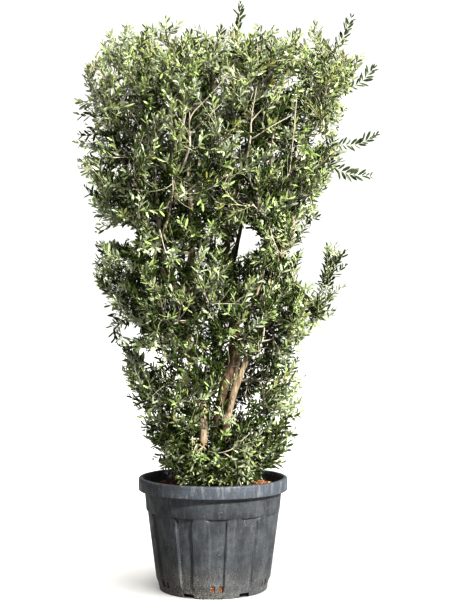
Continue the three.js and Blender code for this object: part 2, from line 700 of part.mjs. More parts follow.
// One mass: core, stem, twigs and the leaves that find room, fused into one solid and cut clear of the limbs.
function massSolid(mass, random) {
  const grid = looseGrid(mass, random);
  const centre = coreCentre(mass, grid);
  const twigs = growTwigs(mass, stemRoot(mass, centre), centre, spreadPoints(mass, grid, centre));
  const runs = twigRuns(twigs);
  const pieces = [coreSolid(mass, centre), stemSolid(twigs), ...runs.map(runSolid)];
  const lineTo = (run) => ({ point }, i) => new THREE.Line3(run[i].point, point);
  const lines = runs.flatMap((run) => run.slice(1).map(lineTo(run)));
  const wobble = () => new THREE.Vector3(random() - 0.5, random() - 0.5, random() - 0.5);
  const insideCore = (p) =>
    p.distanceTo(centre) < coreReach(mass, centre, p.clone().sub(centre).normalize());
  const addLeaf = (foot, along, side, outward) => {
    const others = lines.filter((line) => pointToLine(foot, line) > TWIG.tipRadius);
    const leaf = fitLeaf(mass, foot, along, side, outward, others);
    if (!leaf) return;
    pieces.push(leaf.solid);
    lines.push(leaf.line);
  };
  for (const run of runs) {
    let turn = random() * Math.PI;
    run.slice(1).forEach((twig, i) => {
      const length = run[i].point.distanceTo(twig.point);
      const along = twig.point.clone().sub(run[i].point).normalize();
      const outward = twig.point.clone().setZ(0).normalize().setZ(1);
      const count = Math.max(1, Math.round(length / PAIR.spacing));
      for (let k = 0; k < count; k++) {
        const at = length - PAIR.fromEnd - (k * length) / count;
        const foot = run[i].point.clone().addScaledVector(along, at);
        if (at < PAIR.fromEnd || insideCore(foot)) continue;
        turn += Math.PI / 2 + PAIR.turn * (random() - 0.5);
        const side = vector([0, 0, 0]).crossVectors(along, outward).normalize().applyAxisAngle(along, turn);
        for (const way of [-1, 1]) {
          const aim = side.clone().multiplyScalar(way).addScaledVector(wobble(), PAIR.wobble);
          aim.z += PAIR.lift;
          const place = foot.clone().addScaledVector(along, way * PAIR.stagger);
          addLeaf(place, along, aim, outward.clone().add(wobble()));
        }
      }
    });
  }
  for (const direction of evenDirections(CORE.leaves)) {
    const depth = CORE.leafSunk * coreReach(mass, centre, direction);
    const foot = centre.clone().addScaledVector(direction, depth);
    const upright = direction.clone().setZ(direction.z + CORE.lift).normalize();
    addLeaf(foot, upright, wobble(), direction.clone().setZ(CORE.lift).add(wobble()));
  }
  const limbs = wasm.Manifold.union(LIMB_NAMES.map((name) => limbSolid(name, GAP)));
  return largestPiece(largestPiece(wasm.Manifold.union(pieces)).subtract(limbs));
}

const olive = new THREE.Group();
olive.add(namedMesh("pot", potSolid(), BLACK_PLASTIC));
olive.add(namedMesh("soil", soilSolid(), COMPOST));
olive.add(namedMesh("root_crown", rootCrownSolid(), BARK));
for (const [name, solid] of Object.entries(solids))
  olive.add(namedMesh(name, solid, name === "middle_stem" ? RED_BARK : BARK));

for (const mass of Object.values(MASSES)) mass.middle = vector(mass.centre);
Object.entries(MASSES).forEach(([name, mass], i) => {
  olive.add(namedMesh("foliage_" + name, massSolid(mass, seededNumbers(SEED + i)), LEAF_GREEN));
});

export default olive;
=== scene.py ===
import math

import bmesh
import bpy
import numpy as np
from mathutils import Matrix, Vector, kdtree, noise


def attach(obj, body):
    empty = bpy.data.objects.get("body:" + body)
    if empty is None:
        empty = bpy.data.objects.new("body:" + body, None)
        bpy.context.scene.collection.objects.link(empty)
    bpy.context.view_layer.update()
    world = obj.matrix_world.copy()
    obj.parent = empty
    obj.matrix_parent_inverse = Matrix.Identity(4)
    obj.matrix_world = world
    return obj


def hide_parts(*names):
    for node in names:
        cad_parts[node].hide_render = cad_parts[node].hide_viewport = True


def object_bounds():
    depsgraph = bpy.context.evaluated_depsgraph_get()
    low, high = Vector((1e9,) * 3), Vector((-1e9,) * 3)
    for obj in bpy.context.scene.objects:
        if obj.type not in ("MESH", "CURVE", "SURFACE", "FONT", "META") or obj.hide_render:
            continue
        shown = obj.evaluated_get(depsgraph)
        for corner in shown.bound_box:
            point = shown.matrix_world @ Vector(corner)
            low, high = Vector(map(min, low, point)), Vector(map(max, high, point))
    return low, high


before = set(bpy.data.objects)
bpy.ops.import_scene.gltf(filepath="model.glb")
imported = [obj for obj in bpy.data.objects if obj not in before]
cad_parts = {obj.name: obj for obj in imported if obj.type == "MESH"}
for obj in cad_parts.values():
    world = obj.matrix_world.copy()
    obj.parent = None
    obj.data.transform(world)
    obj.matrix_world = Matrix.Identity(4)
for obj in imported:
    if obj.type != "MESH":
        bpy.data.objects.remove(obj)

CAD_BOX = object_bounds()

# An olive bush grown as a clump of four stems in a ribbed nursery pot.
# Tables are in millimetres, as in the part's source, and meshes in metres.
MM = 0.001
CAD_LOW, CAD_HIGH = (np.array(corner) / MM for corner in CAD_BOX)

# Pot
POT_HEIGHT = 448
FOOT_RADIUS = 217
WALL = 4
RIM = {"radius": 300, "depth": 50, "lip": 17, "edge": 7, "skirt": 4}
COLLAR = {"foot": 318, "foot_radius": 269, "top_radius": 276, "step": 10}
RIBS = {
    "count": 12, "turn": -10.5, "bulge": 8, "half_width": 37,
    "flank": 6.5, "corner": 20, "foot": 20, "fade": 36,
}
NOTCH = {"width": 46, "height": 17, "depth": 34}
SLOT = {"width": 17, "height": 26, "apart": 32, "foot": 26, "depth": 30}
POT_COLUMNS = 360
RIM_FOOT = POT_HEIGHT - RIM["depth"]
RIB_TOP = COLLAR["foot"] - 3
FLOOR = 17

# Soil and root crown
GAP = 0.3
SOIL_TOP = 413
SOIL_EDGE_DIP = 6
SOIL_FLAT_RADIUS = 200
SOIL_DIP_RUN = 80
SOIL_CHIPPED_RADIUS = 262
CHIPS = {"count": 2600, "bare_middle": 0.12, "shortest": 4, "longest": 15}
ROOT_CROWN = {"foot_radius": 110, "top_radius": 90, "height": 45, "lobes": 5, "lobe_share": 0.07}
STEM_BURIED = 10
STEM_FOOT = SOIL_TOP + GAP + ROOT_CROWN["height"] + GAP

# The leafy crown's outline: height, furthest left, furthest right, and reach to front and back
OUTLINE = np.array([
    [422, -205, 235, 180],
    [510, -240, 310, 230],
    [650, -290, 345, 255],
    [800, -340, 355, 285],
    [950, -375, 340, 305],
    [1090, -415, 430, 330],
    [1180, -445, 430, 345],
    [1260, -470, 345, 360],
    [1400, -475, 375, 380],
    [1560, -485, 435, 405],
    [1700, -540, 500, 430],
    [1950, -562, 520, 450],
    [2090, -555, 600, 450],
    [2200, -455, 520, 400],
    [2240, -400, 380, 340],
])
OUTLINE_POWER = 2.5

# Long shoots that stand out of the outline: foot, tip, and how far their leaves reach
SHOOTS = [
    ([88, -20, 2215], [110, -20, 2350], 26),
    ([490, -15, 2170], [556, -15, 2296], 34),
    ([560, 10, 2020], [648, 10, 2096], 30),
    ([500, -20, 1785], [655, -20, 1822], 36),
    ([470, 0, 1705], [632, 0, 1660], 36),
    ([435, -20, 1110], [500, -20, 1345], 62),
]

# A shoot whose leaves reach further than this is a spray of several
BRANCHING_SPREAD = 50

# Gaps where the sky shows right through the crown, as seen from the eye: x, z, half width, half height
EYE = np.array([48.0, -5250.0, 1160.0])
SKY_GAPS = [
    (137, 1408, 47, 48),
    (383, 1257, 50, 38),
    (-262, 934, 34, 22),
    (-342, 1032, 40, 32),
    (-385, 1422, 80, 21),
    (178, 768, 14, 9),
]

# Thin places in the foliage, where wood shows from the eye: a line in the picture's plane,
# half its width, the share of the foliage that stays, and how far back the thinning goes
THIN_PLACES = [
    ([58, 700], [157, 914], 16, 0.1, 10),
    ([40, 760], [84, 914], 18, 0.42, 10),
    ([-35, 600], [-30, 735], 12, 0.3, 10),
    ([-94, 1510], [-94, 1905], 17, 0.15, -300),
    ([-235, 1490], [-225, 1690], 16, 0.2, -270),
    ([-292, 1560], [-352, 1705], 12, 0.3, -120),
    ([120, 1641], [176, 2030], 15, 0.2, -290),
    ([312, 1690], [337, 1980], 15, 0.2, -260),
    ([-94, 1911], [104, 2142], 13, 0.25, -310),
    ([-88, 1835], [-154, 1920], 12, 0.25, -310),
    ([-84, 1835], [36, 1952], 12, 0.25, -310),
    ([128, 1871], [274, 1984], 13, 0.25, -300),
    ([149, 1818], [314, 1903], 12, 0.25, -300),
    ([-288, 1948], [-377, 2049], 12, 0.3, -300),
    ([-280, 1980], [-235, 2073], 12, 0.3, -310),
    ([-255, 1766], [-385, 1985], 13, 0.3, -230),
]

# Looser patches, as seen from the eye: x, z, half width, half height, and the share that stays
LOOSE_PATCHES = [
    (345, 1925, 150, 160, 0.75),
    (290, 1766, 110, 110, 0.85),
    (-430, 1900, 120, 220, 0.62),
    (-230, 855, 95, 80, 0.7),
    (330, 1480, 90, 120, 0.7),
    (-400, 1120, 60, 120, 0.7),
]

# Straight leading twigs near the crown's front, by the mass that grows them: places, thick end first
LEADERS = {
    "mid_front_left": [
        [[-140, -290, 1250], [-180, -310, 1350], [-200, -310, 1430]],
    ],
    "upper_front_left": [
        [[-86, -275, 1483], [-87, -315, 1600], [-86, -330, 1740], [-86, -330, 1875]],
        [[-86, -328, 1787], [-142, -335, 1872], [-161, -335, 1936]],
        [[-86, -328, 1787], [-9, -340, 1860], [36, -345, 1902]],
        [[-86, -330, 1855], [29, -345, 1975], [100, -345, 2078]],
        [[-219, -270, 1457], [-200, -300, 1579], [-216, -305, 1674]],
    ],
    "upper_front": [
        [[-100, -325, 1895], [-122, -325, 1960], [-152, -320, 2060]],
        [[-239, -270, 1735], [-297, -275, 1857], [-363, -250, 1946]],
    ],
    "upper_front_right": [
        [[116, -290, 1612], [143, -325, 1767], [150, -330, 1862], [173, -325, 1995]],
        [[150, -325, 1770], [206, -335, 1806], [297, -325, 1858]],
        [[150, -325, 1840], [188, -335, 1880], [261, -330, 1932]],
        [[296, -260, 1656], [311, -290, 1809], [322, -290, 1942]],
        [[210, -270, 1380], [262, -290, 1500], [290, -290, 1610]],
    ],
    "top_front_left": [
        [[-265, -345, 1894], [-306, -345, 1942], [-350, -335, 1989]],
        [[-258, -350, 1915], [-235, -355, 1968], [-216, -345, 2012]],
    ],
}

# A leading twig's places, what each adds to the load, and how close and how straight it joins its foot
LEADER = {"places": 13, "load": 0.16, "nearest": 20, "straight": 0.84}

# Side shoots that hang at the lower left and rise at the lower right: foot and tip
SIDE_SHOOTS = [
    ([-290, -40, 1010], [-318, -50, 812]),
    ([-262, -60, 930], [-276, -70, 770]),
    ([-372, -20, 1150], [-388, -20, 985]),
    ([-352, -60, 1120], [-352, -60, 965]),
    ([438, -30, 1115], [458, -62, 1288]),
    ([448, -20, 1175], [528, -36, 1296]),
    ([440, 5, 1130], [486, 26, 1330]),
    ([425, -40, 1090], [520, -60, 1215]),
]

# Stems: X and Y on the root crown, the radii at foot and tip, and the places on the way
STEMS = {
    "left_stem": ([-42, -25], (19, 6.5), [
        [-45, -25, 760], [-98, -45, 1006], [-114, -70, 1180], [-80, -105, 1400],
        [-95, -130, 1630], [-86, -140, 1900],
    ]),
    "right_stem": ([45, -27], (17, 6), [
        [60, -5, 700], [124, 8, 890], [190, 10, 1050], [235, 5, 1270],
        [322, -5, 1430], [303, -10, 1590], [400, -10, 1880],
    ]),
    "middle_stem": ([2, 22], (28, 7), [
        [36, 38, 750], [84, 45, 970], [74, 32, 1200], [54, 5, 1420],
        [112, -40, 1650], [158, -60, 1860], [166, -60, 1950],
    ]),
    "back_stem": ([-45, 57], (14, 6), [
        [-30, 110, 700], [0, 160, 900], [90, 240, 1350], [190, 290, 1780], [215, 300, 1880],
    ]),
}

# Boughs: the parent and the height at which each leaves it, the radii, and the places on the way
BOUGHS = {
    "left_bough": ("left_stem", 1120, (10, 5.5), [
        [-150, -85, 1215], [-205, -130, 1440], [-224, -155, 1610], [-255, -170, 1827],
    ]),
    "far_left_bough": ("left_stem", 960, (11, 5.5), [
        [-205, -50, 1290], [-289, -40, 1564], [-352, -30, 1703], [-400, -25, 1800],
    ]),
    "front_left_bough": ("left_stem", 880, (8, 4.5), [
        [-215, -190, 1150], [-238, -230, 1270], [-165, -275, 1490], [-150, -280, 1600],
    ]),
    "front_right_bough": ("right_stem", 690, (9, 5), [
        [120, -130, 1010], [200, -200, 1300], [222, -240, 1600], [230, -255, 1780],
    ]),
    "low_right_bough": ("right_stem", 1030, (7.5, 5), [
        [320, -20, 1110], [440, -25, 1165],
    ]),
    "back_left_bough": ("back_stem", 690, (11, 5.5), [
        [-150, 200, 1080], [-240, 260, 1500], [-290, 280, 1760],
    ]),
}
FLARE_SHARE = 0.3
FLARE_LENGTH = 60
LIMB_PLACES = 201
CLEARANCE_PLACES = 120

# Masses of foliage: the limb that carries each, whether it stands on the limb's tip, and its middle.
# They are dressed tier by tier, and the wide tiers in two parts, left and right of an X.
MASSES = {
    "skirt_left": ("left_stem", False, [-190, -50, 600]),
    "skirt_right": ("right_stem", False, [200, -20, 570]),
    "skirt_front": ("right_stem", False, [15, -150, 535]),
    "skirt_back": ("back_stem", False, [-20, 190, 600]),
    "lower_left": ("left_stem", False, [-245, -20, 850]),
    "lower_right": ("right_stem", False, [260, 20, 815]),
    "lower_front": ("left_stem", False, [-60, -190, 780]),
    "lower_back": ("back_stem", False, [60, 260, 890]),
    "mid_left": ("far_left_bough", False, [-350, -10, 1170]),
    "mid_front_left": ("front_left_bough", False, [-190, -250, 1090]),
    "mid_centre": ("left_stem", False, [10, -180, 1210]),
    "mid_right": ("right_stem", False, [245, -100, 1090]),
    "low_right": ("low_right_bough", True, [455, -20, 1200]),
    "mid_back": ("back_stem", False, [110, 300, 1200]),
    "mid_back_left": ("back_left_bough", False, [-210, 230, 1180]),
    "upper_left": ("far_left_bough", False, [-400, -20, 1500]),
    "upper_front_left": ("left_bough", False, [-240, -200, 1440]),
    "upper_front": ("front_left_bough", True, [-130, -330, 1700]),
    "upper_centre": ("left_stem", False, [-10, -110, 1640]),
    "upper_front_right": ("front_right_bough", False, [190, -270, 1500]),
    "upper_right": ("right_stem", False, [380, 0, 1600]),
    "upper_back_right": ("back_stem", False, [220, 290, 1560]),
    "upper_back_left": ("back_left_bough", False, [-190, 250, 1540]),
    "top_far_left": ("far_left_bough", True, [-450, -10, 1960]),
    "top_front_left": ("left_bough", True, [-280, -220, 2040]),
    "top_centre_left": ("left_stem", True, [-90, -100, 2090]),
    "top_centre_right": ("middle_stem", True, [165, -60, 2100]),
    "top_front_right": ("front_right_bough", True, [270, -270, 1980]),
    "top_right": ("right_stem", True, [460, 0, 2050]),
    "top_back_right": ("back_stem", True, [250, 280, 2060]),
    "top_back_left": ("back_left_bough", True, [-250, 260, 1990]),
}
TIERS = ["skirt", "lower", "mid", "upper", "top"]
TIER_OF = {"low_right": "mid"}
SPLIT_TIERS = ["mid", "upper", "top"]
SPLIT_AT = 100
MIDDLES = np.array([centre for _, _, centre in MASSES.values()], float)

# The growing rule: twigs join the cheapest way back to the mass's stem, and leafy shoots stand on twigs.
# Costs are for each millimetre of detour and droop, and for the cosine by which a turn is too sharp.
SEED = 8
DETOUR_COST = 0.15
DROOP_COST = 0.6
TURN_COST = 60
EASY_TURN = 0.85
TWIG = {
    "spacing": 82, "scatter": 0.42, "depth": 34, "off_gaps": 25, "off_limbs": 20,
    "shortest": 40, "tries": 6, "tip_radius": 1.8, "thickening": 0.42, "sides": 5,
}
SHOOT = {
    "spacing": 50, "scatter": 0.48, "shell": 150, "inner_share": 0.28, "dense_below": 640,
    "shortest": 80, "longest": 300, "tries": 5, "points": 7,
}
STALK = {"radii": (1.6, 0.8), "sides": 3}
BEND = {"lean": 0.6, "lift": 0.5, "lift_from": 450, "lift_over": 150, "outward": 0.15, "wander": 0.13}
CROWDING = {"reach": 25, "cost": 22}

# The stem of a mass, and how far twigs and shoots keep from the limbs, the pot and the leading twigs
STEM_LENGTH = 25
STEM_DROP = 40
STEM_TIP_PLACES = 8
LIMB_CLEARANCE = 6
POT_CLEARANCE = 8
LEADER_CLEARANCE = 45

# The least share of foliage that a twig crosses, and the share of twigs that end in a thin place
TWIG_CROSSES = 0.28
TWIGS_IN_THIN_PLACES = 0.2

# How far leaves may stand out of the CAD model's box
SPARE = np.array([43, 34, 60])

# How far shoots, their tips and the ends of leaves may stand out of the outline
SHOOT_OUTSIDE = 48
TIP_OUTSIDE = 45
LEAF_OUTSIDE = 90

# The crown's edge: how deep tips stay inside the outline at least, with a slow wave, and more by place
RAGGED = {"least": 8, "swing": 28, "size": 75, "top": 44, "shoulder": 24, "skirt": 20, "skirt_middle": -32}
CLIPPED_TOP = 2120
LEFT_SHOULDER = (-420, 1850)
SKIRT_TOP = 560
SKIRT_MIDDLE = 20
SKIRT_HALF_WIDTH = 150
SKIRT_HANGS = 520

# More tips for the skirt in front, low over the pot's rim: low corner, high corner and count
SKIRT_TIPS = [
    ([-190, -200, 430], [210, -90, 500], 70),
    ([-150, -235, 436], [140, -140, 468], 90),
]

# Hollows in the foliage near its surface: their size, how much is hollow, how deep, and the heights
HOLLOW = {"size": 58, "level": -0.3, "depth": 90, "from": 1000, "to": 1900}

# Sprigs that stand out of the clipped top and of the sides: length, how deep they start, and rise
TOP_SPRIGS = (32, 75, 3)
SIDE_SPRIGS = (17, 45, 0.9)
LONGEST_SPRIG = 1.8

# Leaves, how they stand along an ordinary shoot, and along one that stands out of the crown. Bare is
# the leafless share at the foot, twist and roll are a leaf's chance turns in radians.
LEAF = {
    "length": 36, "width": 9.6, "thickness": 0.9,
    "spacing": 11, "bare": 0.28, "twist": 0.22, "roll": 0.75, "lift": 0.16,
}
LONG_SHOOT = {"points": 9, "spacing": 14, "bare": 0.02, "growth": 1.16, "twist": 0.42, "roll": 0.4}
SIDE_SHOOT_POINTS = 8

# The sun stands to the upper right in front. It reaches two strips of bare stem, each from one place
# to another, through foliage that is thinned to a share of its leaves.
SUN_TILT, SUN_TURN = 56, 41
LIT_STRIPS = [([66, -30, 705], [130, -30, 910]), ([-36, -60, 600], [-30, -60, 740])]
LIT = {"half_width": 34, "behind": 20, "share": 0.12}


def vec(*values):
    return np.array(values, float)


def unit(vectors):
    return vectors / np.maximum(np.linalg.norm(vectors, axis=-1, keepdims=True), 1e-9)


def dots(ones, others):
    """The dot product of each vector with its fellow in the other row."""
    return np.einsum("ij,ij->i", ones, others)


def outward(points):
    """The level direction from the pot's axis to each point."""
    return unit(points * vec(1, 1, 0))


def swung(angles, ones, others):
    """Directions turned by an angle each from one direction towards another at right angles to it."""
    return np.cos(angles)[..., None] * ones + np.sin(angles)[..., None] * others


def toward(tilt, turn):
    """The direction of a light that is tilted from the vertical and turned round Z, both in degrees."""
    tilt, turn = math.radians(tilt), math.radians(turn)
    return vec(math.sin(tilt) * math.sin(turn), -math.sin(tilt) * math.cos(turn), math.cos(tilt))


TO_SUN = toward(SUN_TILT, SUN_TURN)


# Curves


def smooth_curve(knots, pieces=24):
    """Points on a centripetal curve through the knots."""
    knots = np.asarray(knots, float)
    line = np.vstack([2 * knots[0] - knots[1], knots, 2 * knots[-1] - knots[-2]])
    t = np.linspace(0, 1, pieces, endpoint=False)[:, None]
    rows = []
    for p0, p1, p2, p3 in zip(line, line[1:], line[2:], line[3:]):
        steps = (p1 - p0, p2 - p1, p3 - p2)
        d0, d1, d2 = (max(math.sqrt(np.linalg.norm(step)), 1e-3) for step in steps)
        m1 = ((p1 - p0) / d0 - (p2 - p0) / (d0 + d1) + (p2 - p1) / d1) * d1
        m2 = ((p2 - p1) / d1 - (p3 - p1) / (d1 + d2) + (p3 - p2) / d2) * d1
        blend = (2 * t**3 - 3 * t**2 + 1) * p1 + (t**3 - 2 * t**2 + t) * m1
        rows.append(blend + (3 * t**2 - 2 * t**3) * p2 + (t**3 - t**2) * m2)
    return np.vstack([*rows, knots[-1:]])


def lengths_along(points):
    return np.concatenate([[0.0], np.cumsum(np.linalg.norm(np.diff(points, axis=0), axis=1))])


def places_at(points, way, stations):
    """The places at the stations, which are lengths along a line from its start."""
    return np.stack([np.interp(stations, way, points[:, k]) for k in range(3)], axis=1)


def resampled(points, count):
    """The line again as so many points, evenly spaced along it."""
    way = lengths_along(points)
    return places_at(points, way, np.linspace(0, way[-1], count))


LIMB_LINES, LIMB_ENDS = {}, {}
for stem, (foot, ends, path) in STEMS.items():
    LIMB_LINES[stem] = resampled(smooth_curve([[*foot, STEM_FOOT], *path]), LIMB_PLACES)
    LIMB_ENDS[stem] = ends
for bough, (parent, height, ends, path) in BOUGHS.items():
    fork = LIMB_LINES[parent][np.argmax(LIMB_LINES[parent][:, 2] >= height)]
    LIMB_LINES[bough] = resampled(smooth_curve([fork, *path]), LIMB_PLACES)
    LIMB_ENDS[bough] = ends


def limb_radius(name, shares):
    """A limb's radius at shares of its length: an even taper, with a flare at a stem's foot."""
    first, last = LIMB_ENDS[name]
    plain = first + (last - first) * shares
    way = shares * lengths_along(LIMB_LINES[name])[-1]
    return plain + FLARE_SHARE * first * np.exp(-way / FLARE_LENGTH) * (name in STEMS)


LIMB_SHARES = np.linspace(0, 1, CLEARANCE_PLACES)
LIMB_POINTS = np.vstack([resampled(line, CLEARANCE_PLACES) for line in LIMB_LINES.values()])
LIMB_RADII = np.concatenate([limb_radius(name, LIMB_SHARES) for name in LIMB_LINES])
LIMB_TREE = kdtree.KDTree(len(LIMB_POINTS))
for i, point in enumerate(LIMB_POINTS):
    LIMB_TREE.insert(point, i)
LIMB_TREE.balance()


# The crown's space


def distance_to_line(points, start, end):
    start, end = vec(*start), vec(*end)
    along = end - start
    share = np.clip((points - start) @ along / (along @ along), 0, 1)
    return np.linalg.norm(points - start - share[:, None] * along, axis=1)


def crown_depth(points, shoots=SHOOTS):
    """How deep each point lies inside the crown's outline, or how far outside it as a negative number."""
    z = points[:, 2]
    left, right, depth = (np.interp(z, OUTLINE[:, 0], OUTLINE[:, k]) for k in (1, 2, 3))
    x = points[:, 0] - (left + right) / 2
    y = points[:, 1]
    wide, thick = np.abs(x) / ((right - left) / 2), np.abs(y) / depth
    share = np.maximum(wide**OUTLINE_POWER + thick**OUTLINE_POWER, 1e-6) ** (1 / OUTLINE_POWER)
    deep = np.hypot(x, y) * (1 / share - 1)
    deep = np.minimum(deep, np.minimum(OUTLINE[-1, 0] - z, z - OUTLINE[0, 0]))
    for foot, tip, spread in shoots:
        deep = np.maximum(deep, spread - distance_to_line(points, foot, tip))
    return deep


def seen_from_eye(points):
    """Where each point shows in the plane of the picture, at Y = 0."""
    scale = EYE[1] / (EYE[1] - points[:, 1])
    return EYE[0] + (points[:, 0] - EYE[0]) * scale, EYE[2] + (points[:, 2] - EYE[2]) * scale


def share_kept(points):
    """The share of foliage that stays at each point: less in front of bare wood and in its light's way."""
    x, z = seen_from_eye(points)
    flat = np.stack([x, np.zeros(len(x)), z], axis=1)
    share = np.ones(len(points))
    for patch_x, patch_z, half_width, half_height, kept in LOOSE_PATCHES:
        share[np.hypot((x - patch_x) / half_width, (z - patch_z) / half_height) < 1] = kept
    for (start_x, start_z), (end_x, end_z), half_width, kept, back in THIN_PLACES:
        away = distance_to_line(flat, (start_x, 0, start_z), (end_x, 0, end_z))
        share[(away < half_width) & (points[:, 1] < back)] = kept
    share[shades_stem(points)] = LIT["share"]
    return share


def shades_stem(points):
    """Whether each point stands in the light's way to the bare strip of a stem."""
    shades = np.zeros(len(points), bool)
    for start, end in LIT_STRIPS:
        way = (start[1] - points[:, 1]) / TO_SUN[1]
        cast = points + way[:, None] * TO_SUN
        near = distance_to_line(cast, start, end) < LIT["half_width"]
        shades |= near & (points[:, 1] < start[1] + LIT["behind"])
    return shades


def in_sky_gap(points, margin):
    """Whether each point lies in a gap that shows sky, as seen from the eye."""
    x, z = seen_from_eye(points)
    inside = np.zeros(len(points), bool)
    for gap_x, gap_z, half_width, half_height in SKY_GAPS:
        across, up = (x - gap_x) / (half_width + margin), (z - gap_z) / (half_height + margin)
        inside |= np.hypot(across, up) < 1
    return inside


def clear_of_limbs(points, margin):
    clear = np.ones(len(points), bool)
    for i, point in enumerate(points):
        _, nearest, distance = LIMB_TREE.find(point)
        clear[i] = distance > LIMB_RADII[nearest] + margin
    return clear


def clear_of_pot(points, margin):
    """Near the soil, foliage keeps above the root crown and inside the pot's rim, or above the rim."""
    radius = np.hypot(points[:, 0], points[:, 1])
    z = points[:, 2]
    root = ROOT_CROWN["foot_radius"] * (1 + ROOT_CROWN["lobe_share"])
    off_root = (z > STEM_FOOT + margin) | (radius > root + margin)
    off_rim = (z > POT_HEIGHT + margin) | (radius < COLLAR["top_radius"] - WALL - margin)
    return off_root & off_rim & (z > SOIL_TOP + margin)


def in_space(points, depth, margin, limbs=LIMB_CLEARANCE):
    """Whether each point is in the crown by depth, off sky gaps by margin, and clear of limbs and pot."""
    good = crown_depth(points) > depth
    good &= ~in_sky_gap(points, margin) & clear_of_pot(points, POT_CLEARANCE)
    good[good] = clear_of_limbs(points[good], limbs)
    return good


def in_box(points):
    """Whether each point lies within the CAD model's box and what leaves may stand out of it."""
    return np.all((points > CAD_LOW - SPARE) & (points < CAD_HIGH + SPARE), axis=-1)


def owner(points):
    """The mass whose middle is nearest to each point."""
    return np.argmin(np.linalg.norm(points[:, None] - MIDDLES[None], axis=2), axis=1)


def loose_grid(spacing, scatter, chance):
    """Points of a loose grid through the whole crown."""
    reach = np.max([tip for _, tip, _ in SHOOTS], axis=0)
    low = vec(OUTLINE[:, 1].min(), -OUTLINE[:, 3].max(), OUTLINE[0, 0])
    high = vec(reach[0] + 40, OUTLINE[:, 3].max(), reach[2])
    counts = np.ceil((high - low) / spacing).astype(int) + 1
    cells = np.stack(np.meshgrid(*(np.arange(n) for n in counts), indexing="ij"), axis=-1).reshape(-1, 3)
    return low + (cells + chance.uniform(-scatter, scatter, cells.shape)) * spacing


def wave(points, size):
    """A slow wave through the crown, from about -1 to 1."""
    return np.array([noise.noise(place) for place in points / size])


# Growing the twigs and the leafy shoots of a mass. A twig is a row of points, its foot first.


def stem_root(mass):
    """Where a mass's stem leaves its limb, its direction and its length."""
    limb_name, at_tip, centre = MASSES[mass]
    line = LIMB_LINES[limb_name]
    if at_tip:
        return line[-1], unit(line[-1] - line[-STEM_TIP_PLACES]), STEM_LENGTH
    aim = vec(centre[0], centre[1], centre[2] - STEM_DROP)
    own = owner(line) == list(MASSES).index(mass)
    own &= line[:, 2] > STEM_FOOT + STEM_DROP
    reach = np.where(own, np.linalg.norm(line - aim, axis=1), np.inf)
    best = int(np.argmin(reach))
    radius = limb_radius(limb_name, best / (len(line) - 1))
    return line[best], unit(vec(*centre) - line[best]), radius + STEM_LENGTH


def way_is_clear(start, end):
    steps = start + (end - start) * vec(0.2, 0.35, 0.5, 0.65, 0.8, 1)[:, None]
    return in_space(steps, 2, 4).all() and share_kept(steps).min() > TWIG_CROSSES


def leader_places(leader, points):
    """The number of the point that a leading twig grows from, and its places that need no sharp turn."""
    nodes = np.array(points)
    above = np.maximum(0, nodes[:, 2] - leader[0][2])
    foot = int(np.argmin(np.linalg.norm(nodes - leader[0], axis=1) + 2 * above))
    places = resampled(smooth_curve(leader), LEADER["places"])
    places = places[np.linalg.norm(places - nodes[foot], axis=1) > LEADER["nearest"]]
    sweep = dots(unit(places - nodes[foot]), unit(np.gradient(places, axis=0)))
    straight = sweep > LEADER["straight"]
    return foot, places[int(np.argmax(straight)):] if straight.any() else []


def grow_twigs(mass, targets):
    """Joins each target to the twig with the least cost: a tree of points, parents and leading points."""
    root, direction, length = stem_root(mass)
    points = [root, root + direction * length]
    parents = [-1, 0]
    ways = [0.0, length]
    headings = [direction, direction]
    leading = []

    def join(place, parent):
        step = place - points[parent]
        points.append(place)
        parents.append(parent)
        ways.append(ways[parent] + np.linalg.norm(step))
        headings.append(unit(step))
        return len(points) - 1

    for leader in LEADERS.get(mass, []):
        last, places = leader_places(leader, points)
        for place in places:
            last = join(place, last)
            leading.append(last)
    for target in targets[np.argsort(np.linalg.norm(targets - points[1], axis=1))]:
        nodes = np.array(points[1:])
        lengths = np.linalg.norm(nodes - target, axis=1)
        droop = np.maximum(0, nodes[:, 2] - target[2])
        bend = np.maximum(0, EASY_TURN - dots(unit(target - nodes), np.array(headings[1:])))
        costs = lengths + DETOUR_COST * np.array(ways[1:]) + DROOP_COST * droop + TURN_COST * bend
        costs[lengths < TWIG["shortest"]] = np.inf
        for best in np.argsort(costs)[:TWIG["tries"]]:
            if np.isfinite(costs[best]) and way_is_clear(nodes[best], target):
                join(target, int(best) + 1)
                break
    return np.array(points), parents, leading


def count_tips(parents, load):
    """How much each twig carries: its own load and that of every twig beyond it."""
    carried = np.array(load, float)
    for i in range(len(parents) - 1, 0, -1):
        carried[parents[i]] += carried[i]
    return carried


def twig_runs(parents, carried):
    """Runs of twigs that each follow the strongest child. Every other child starts a run of its own."""
    children = [[] for _ in parents]
    for i, parent in enumerate(parents[1:], start=1):
        children[parent].append(i)
    runs = []
    starts = [(0, children[0][0])]
    while starts:
        foot, twig = starts.pop()
        run = [foot]
        while twig is not None:
            run.append(twig)
            ranked = sorted(children[twig], key=lambda child: -carried[child])
            starts += [(twig, side) for side in ranked[1:]]
            twig = ranked[0] if ranked else None
        runs.append(run)
    return runs


def run_curve(run, points, carried):
    """A run of twigs as a smooth row of points with the radius at each."""
    knots = points[run]
    curve = smooth_curve(knots, 5) if len(run) > 2 else resampled(knots, 5)
    sizes = TWIG["tip_radius"] * carried[run] ** TWIG["thickening"]
    sizes[0] = min(sizes[0], 1.25 * sizes[1])
    radii = np.interp(np.linspace(0, 1, len(curve)), np.linspace(0, 1, len(run)), sizes)
    return curve, radii


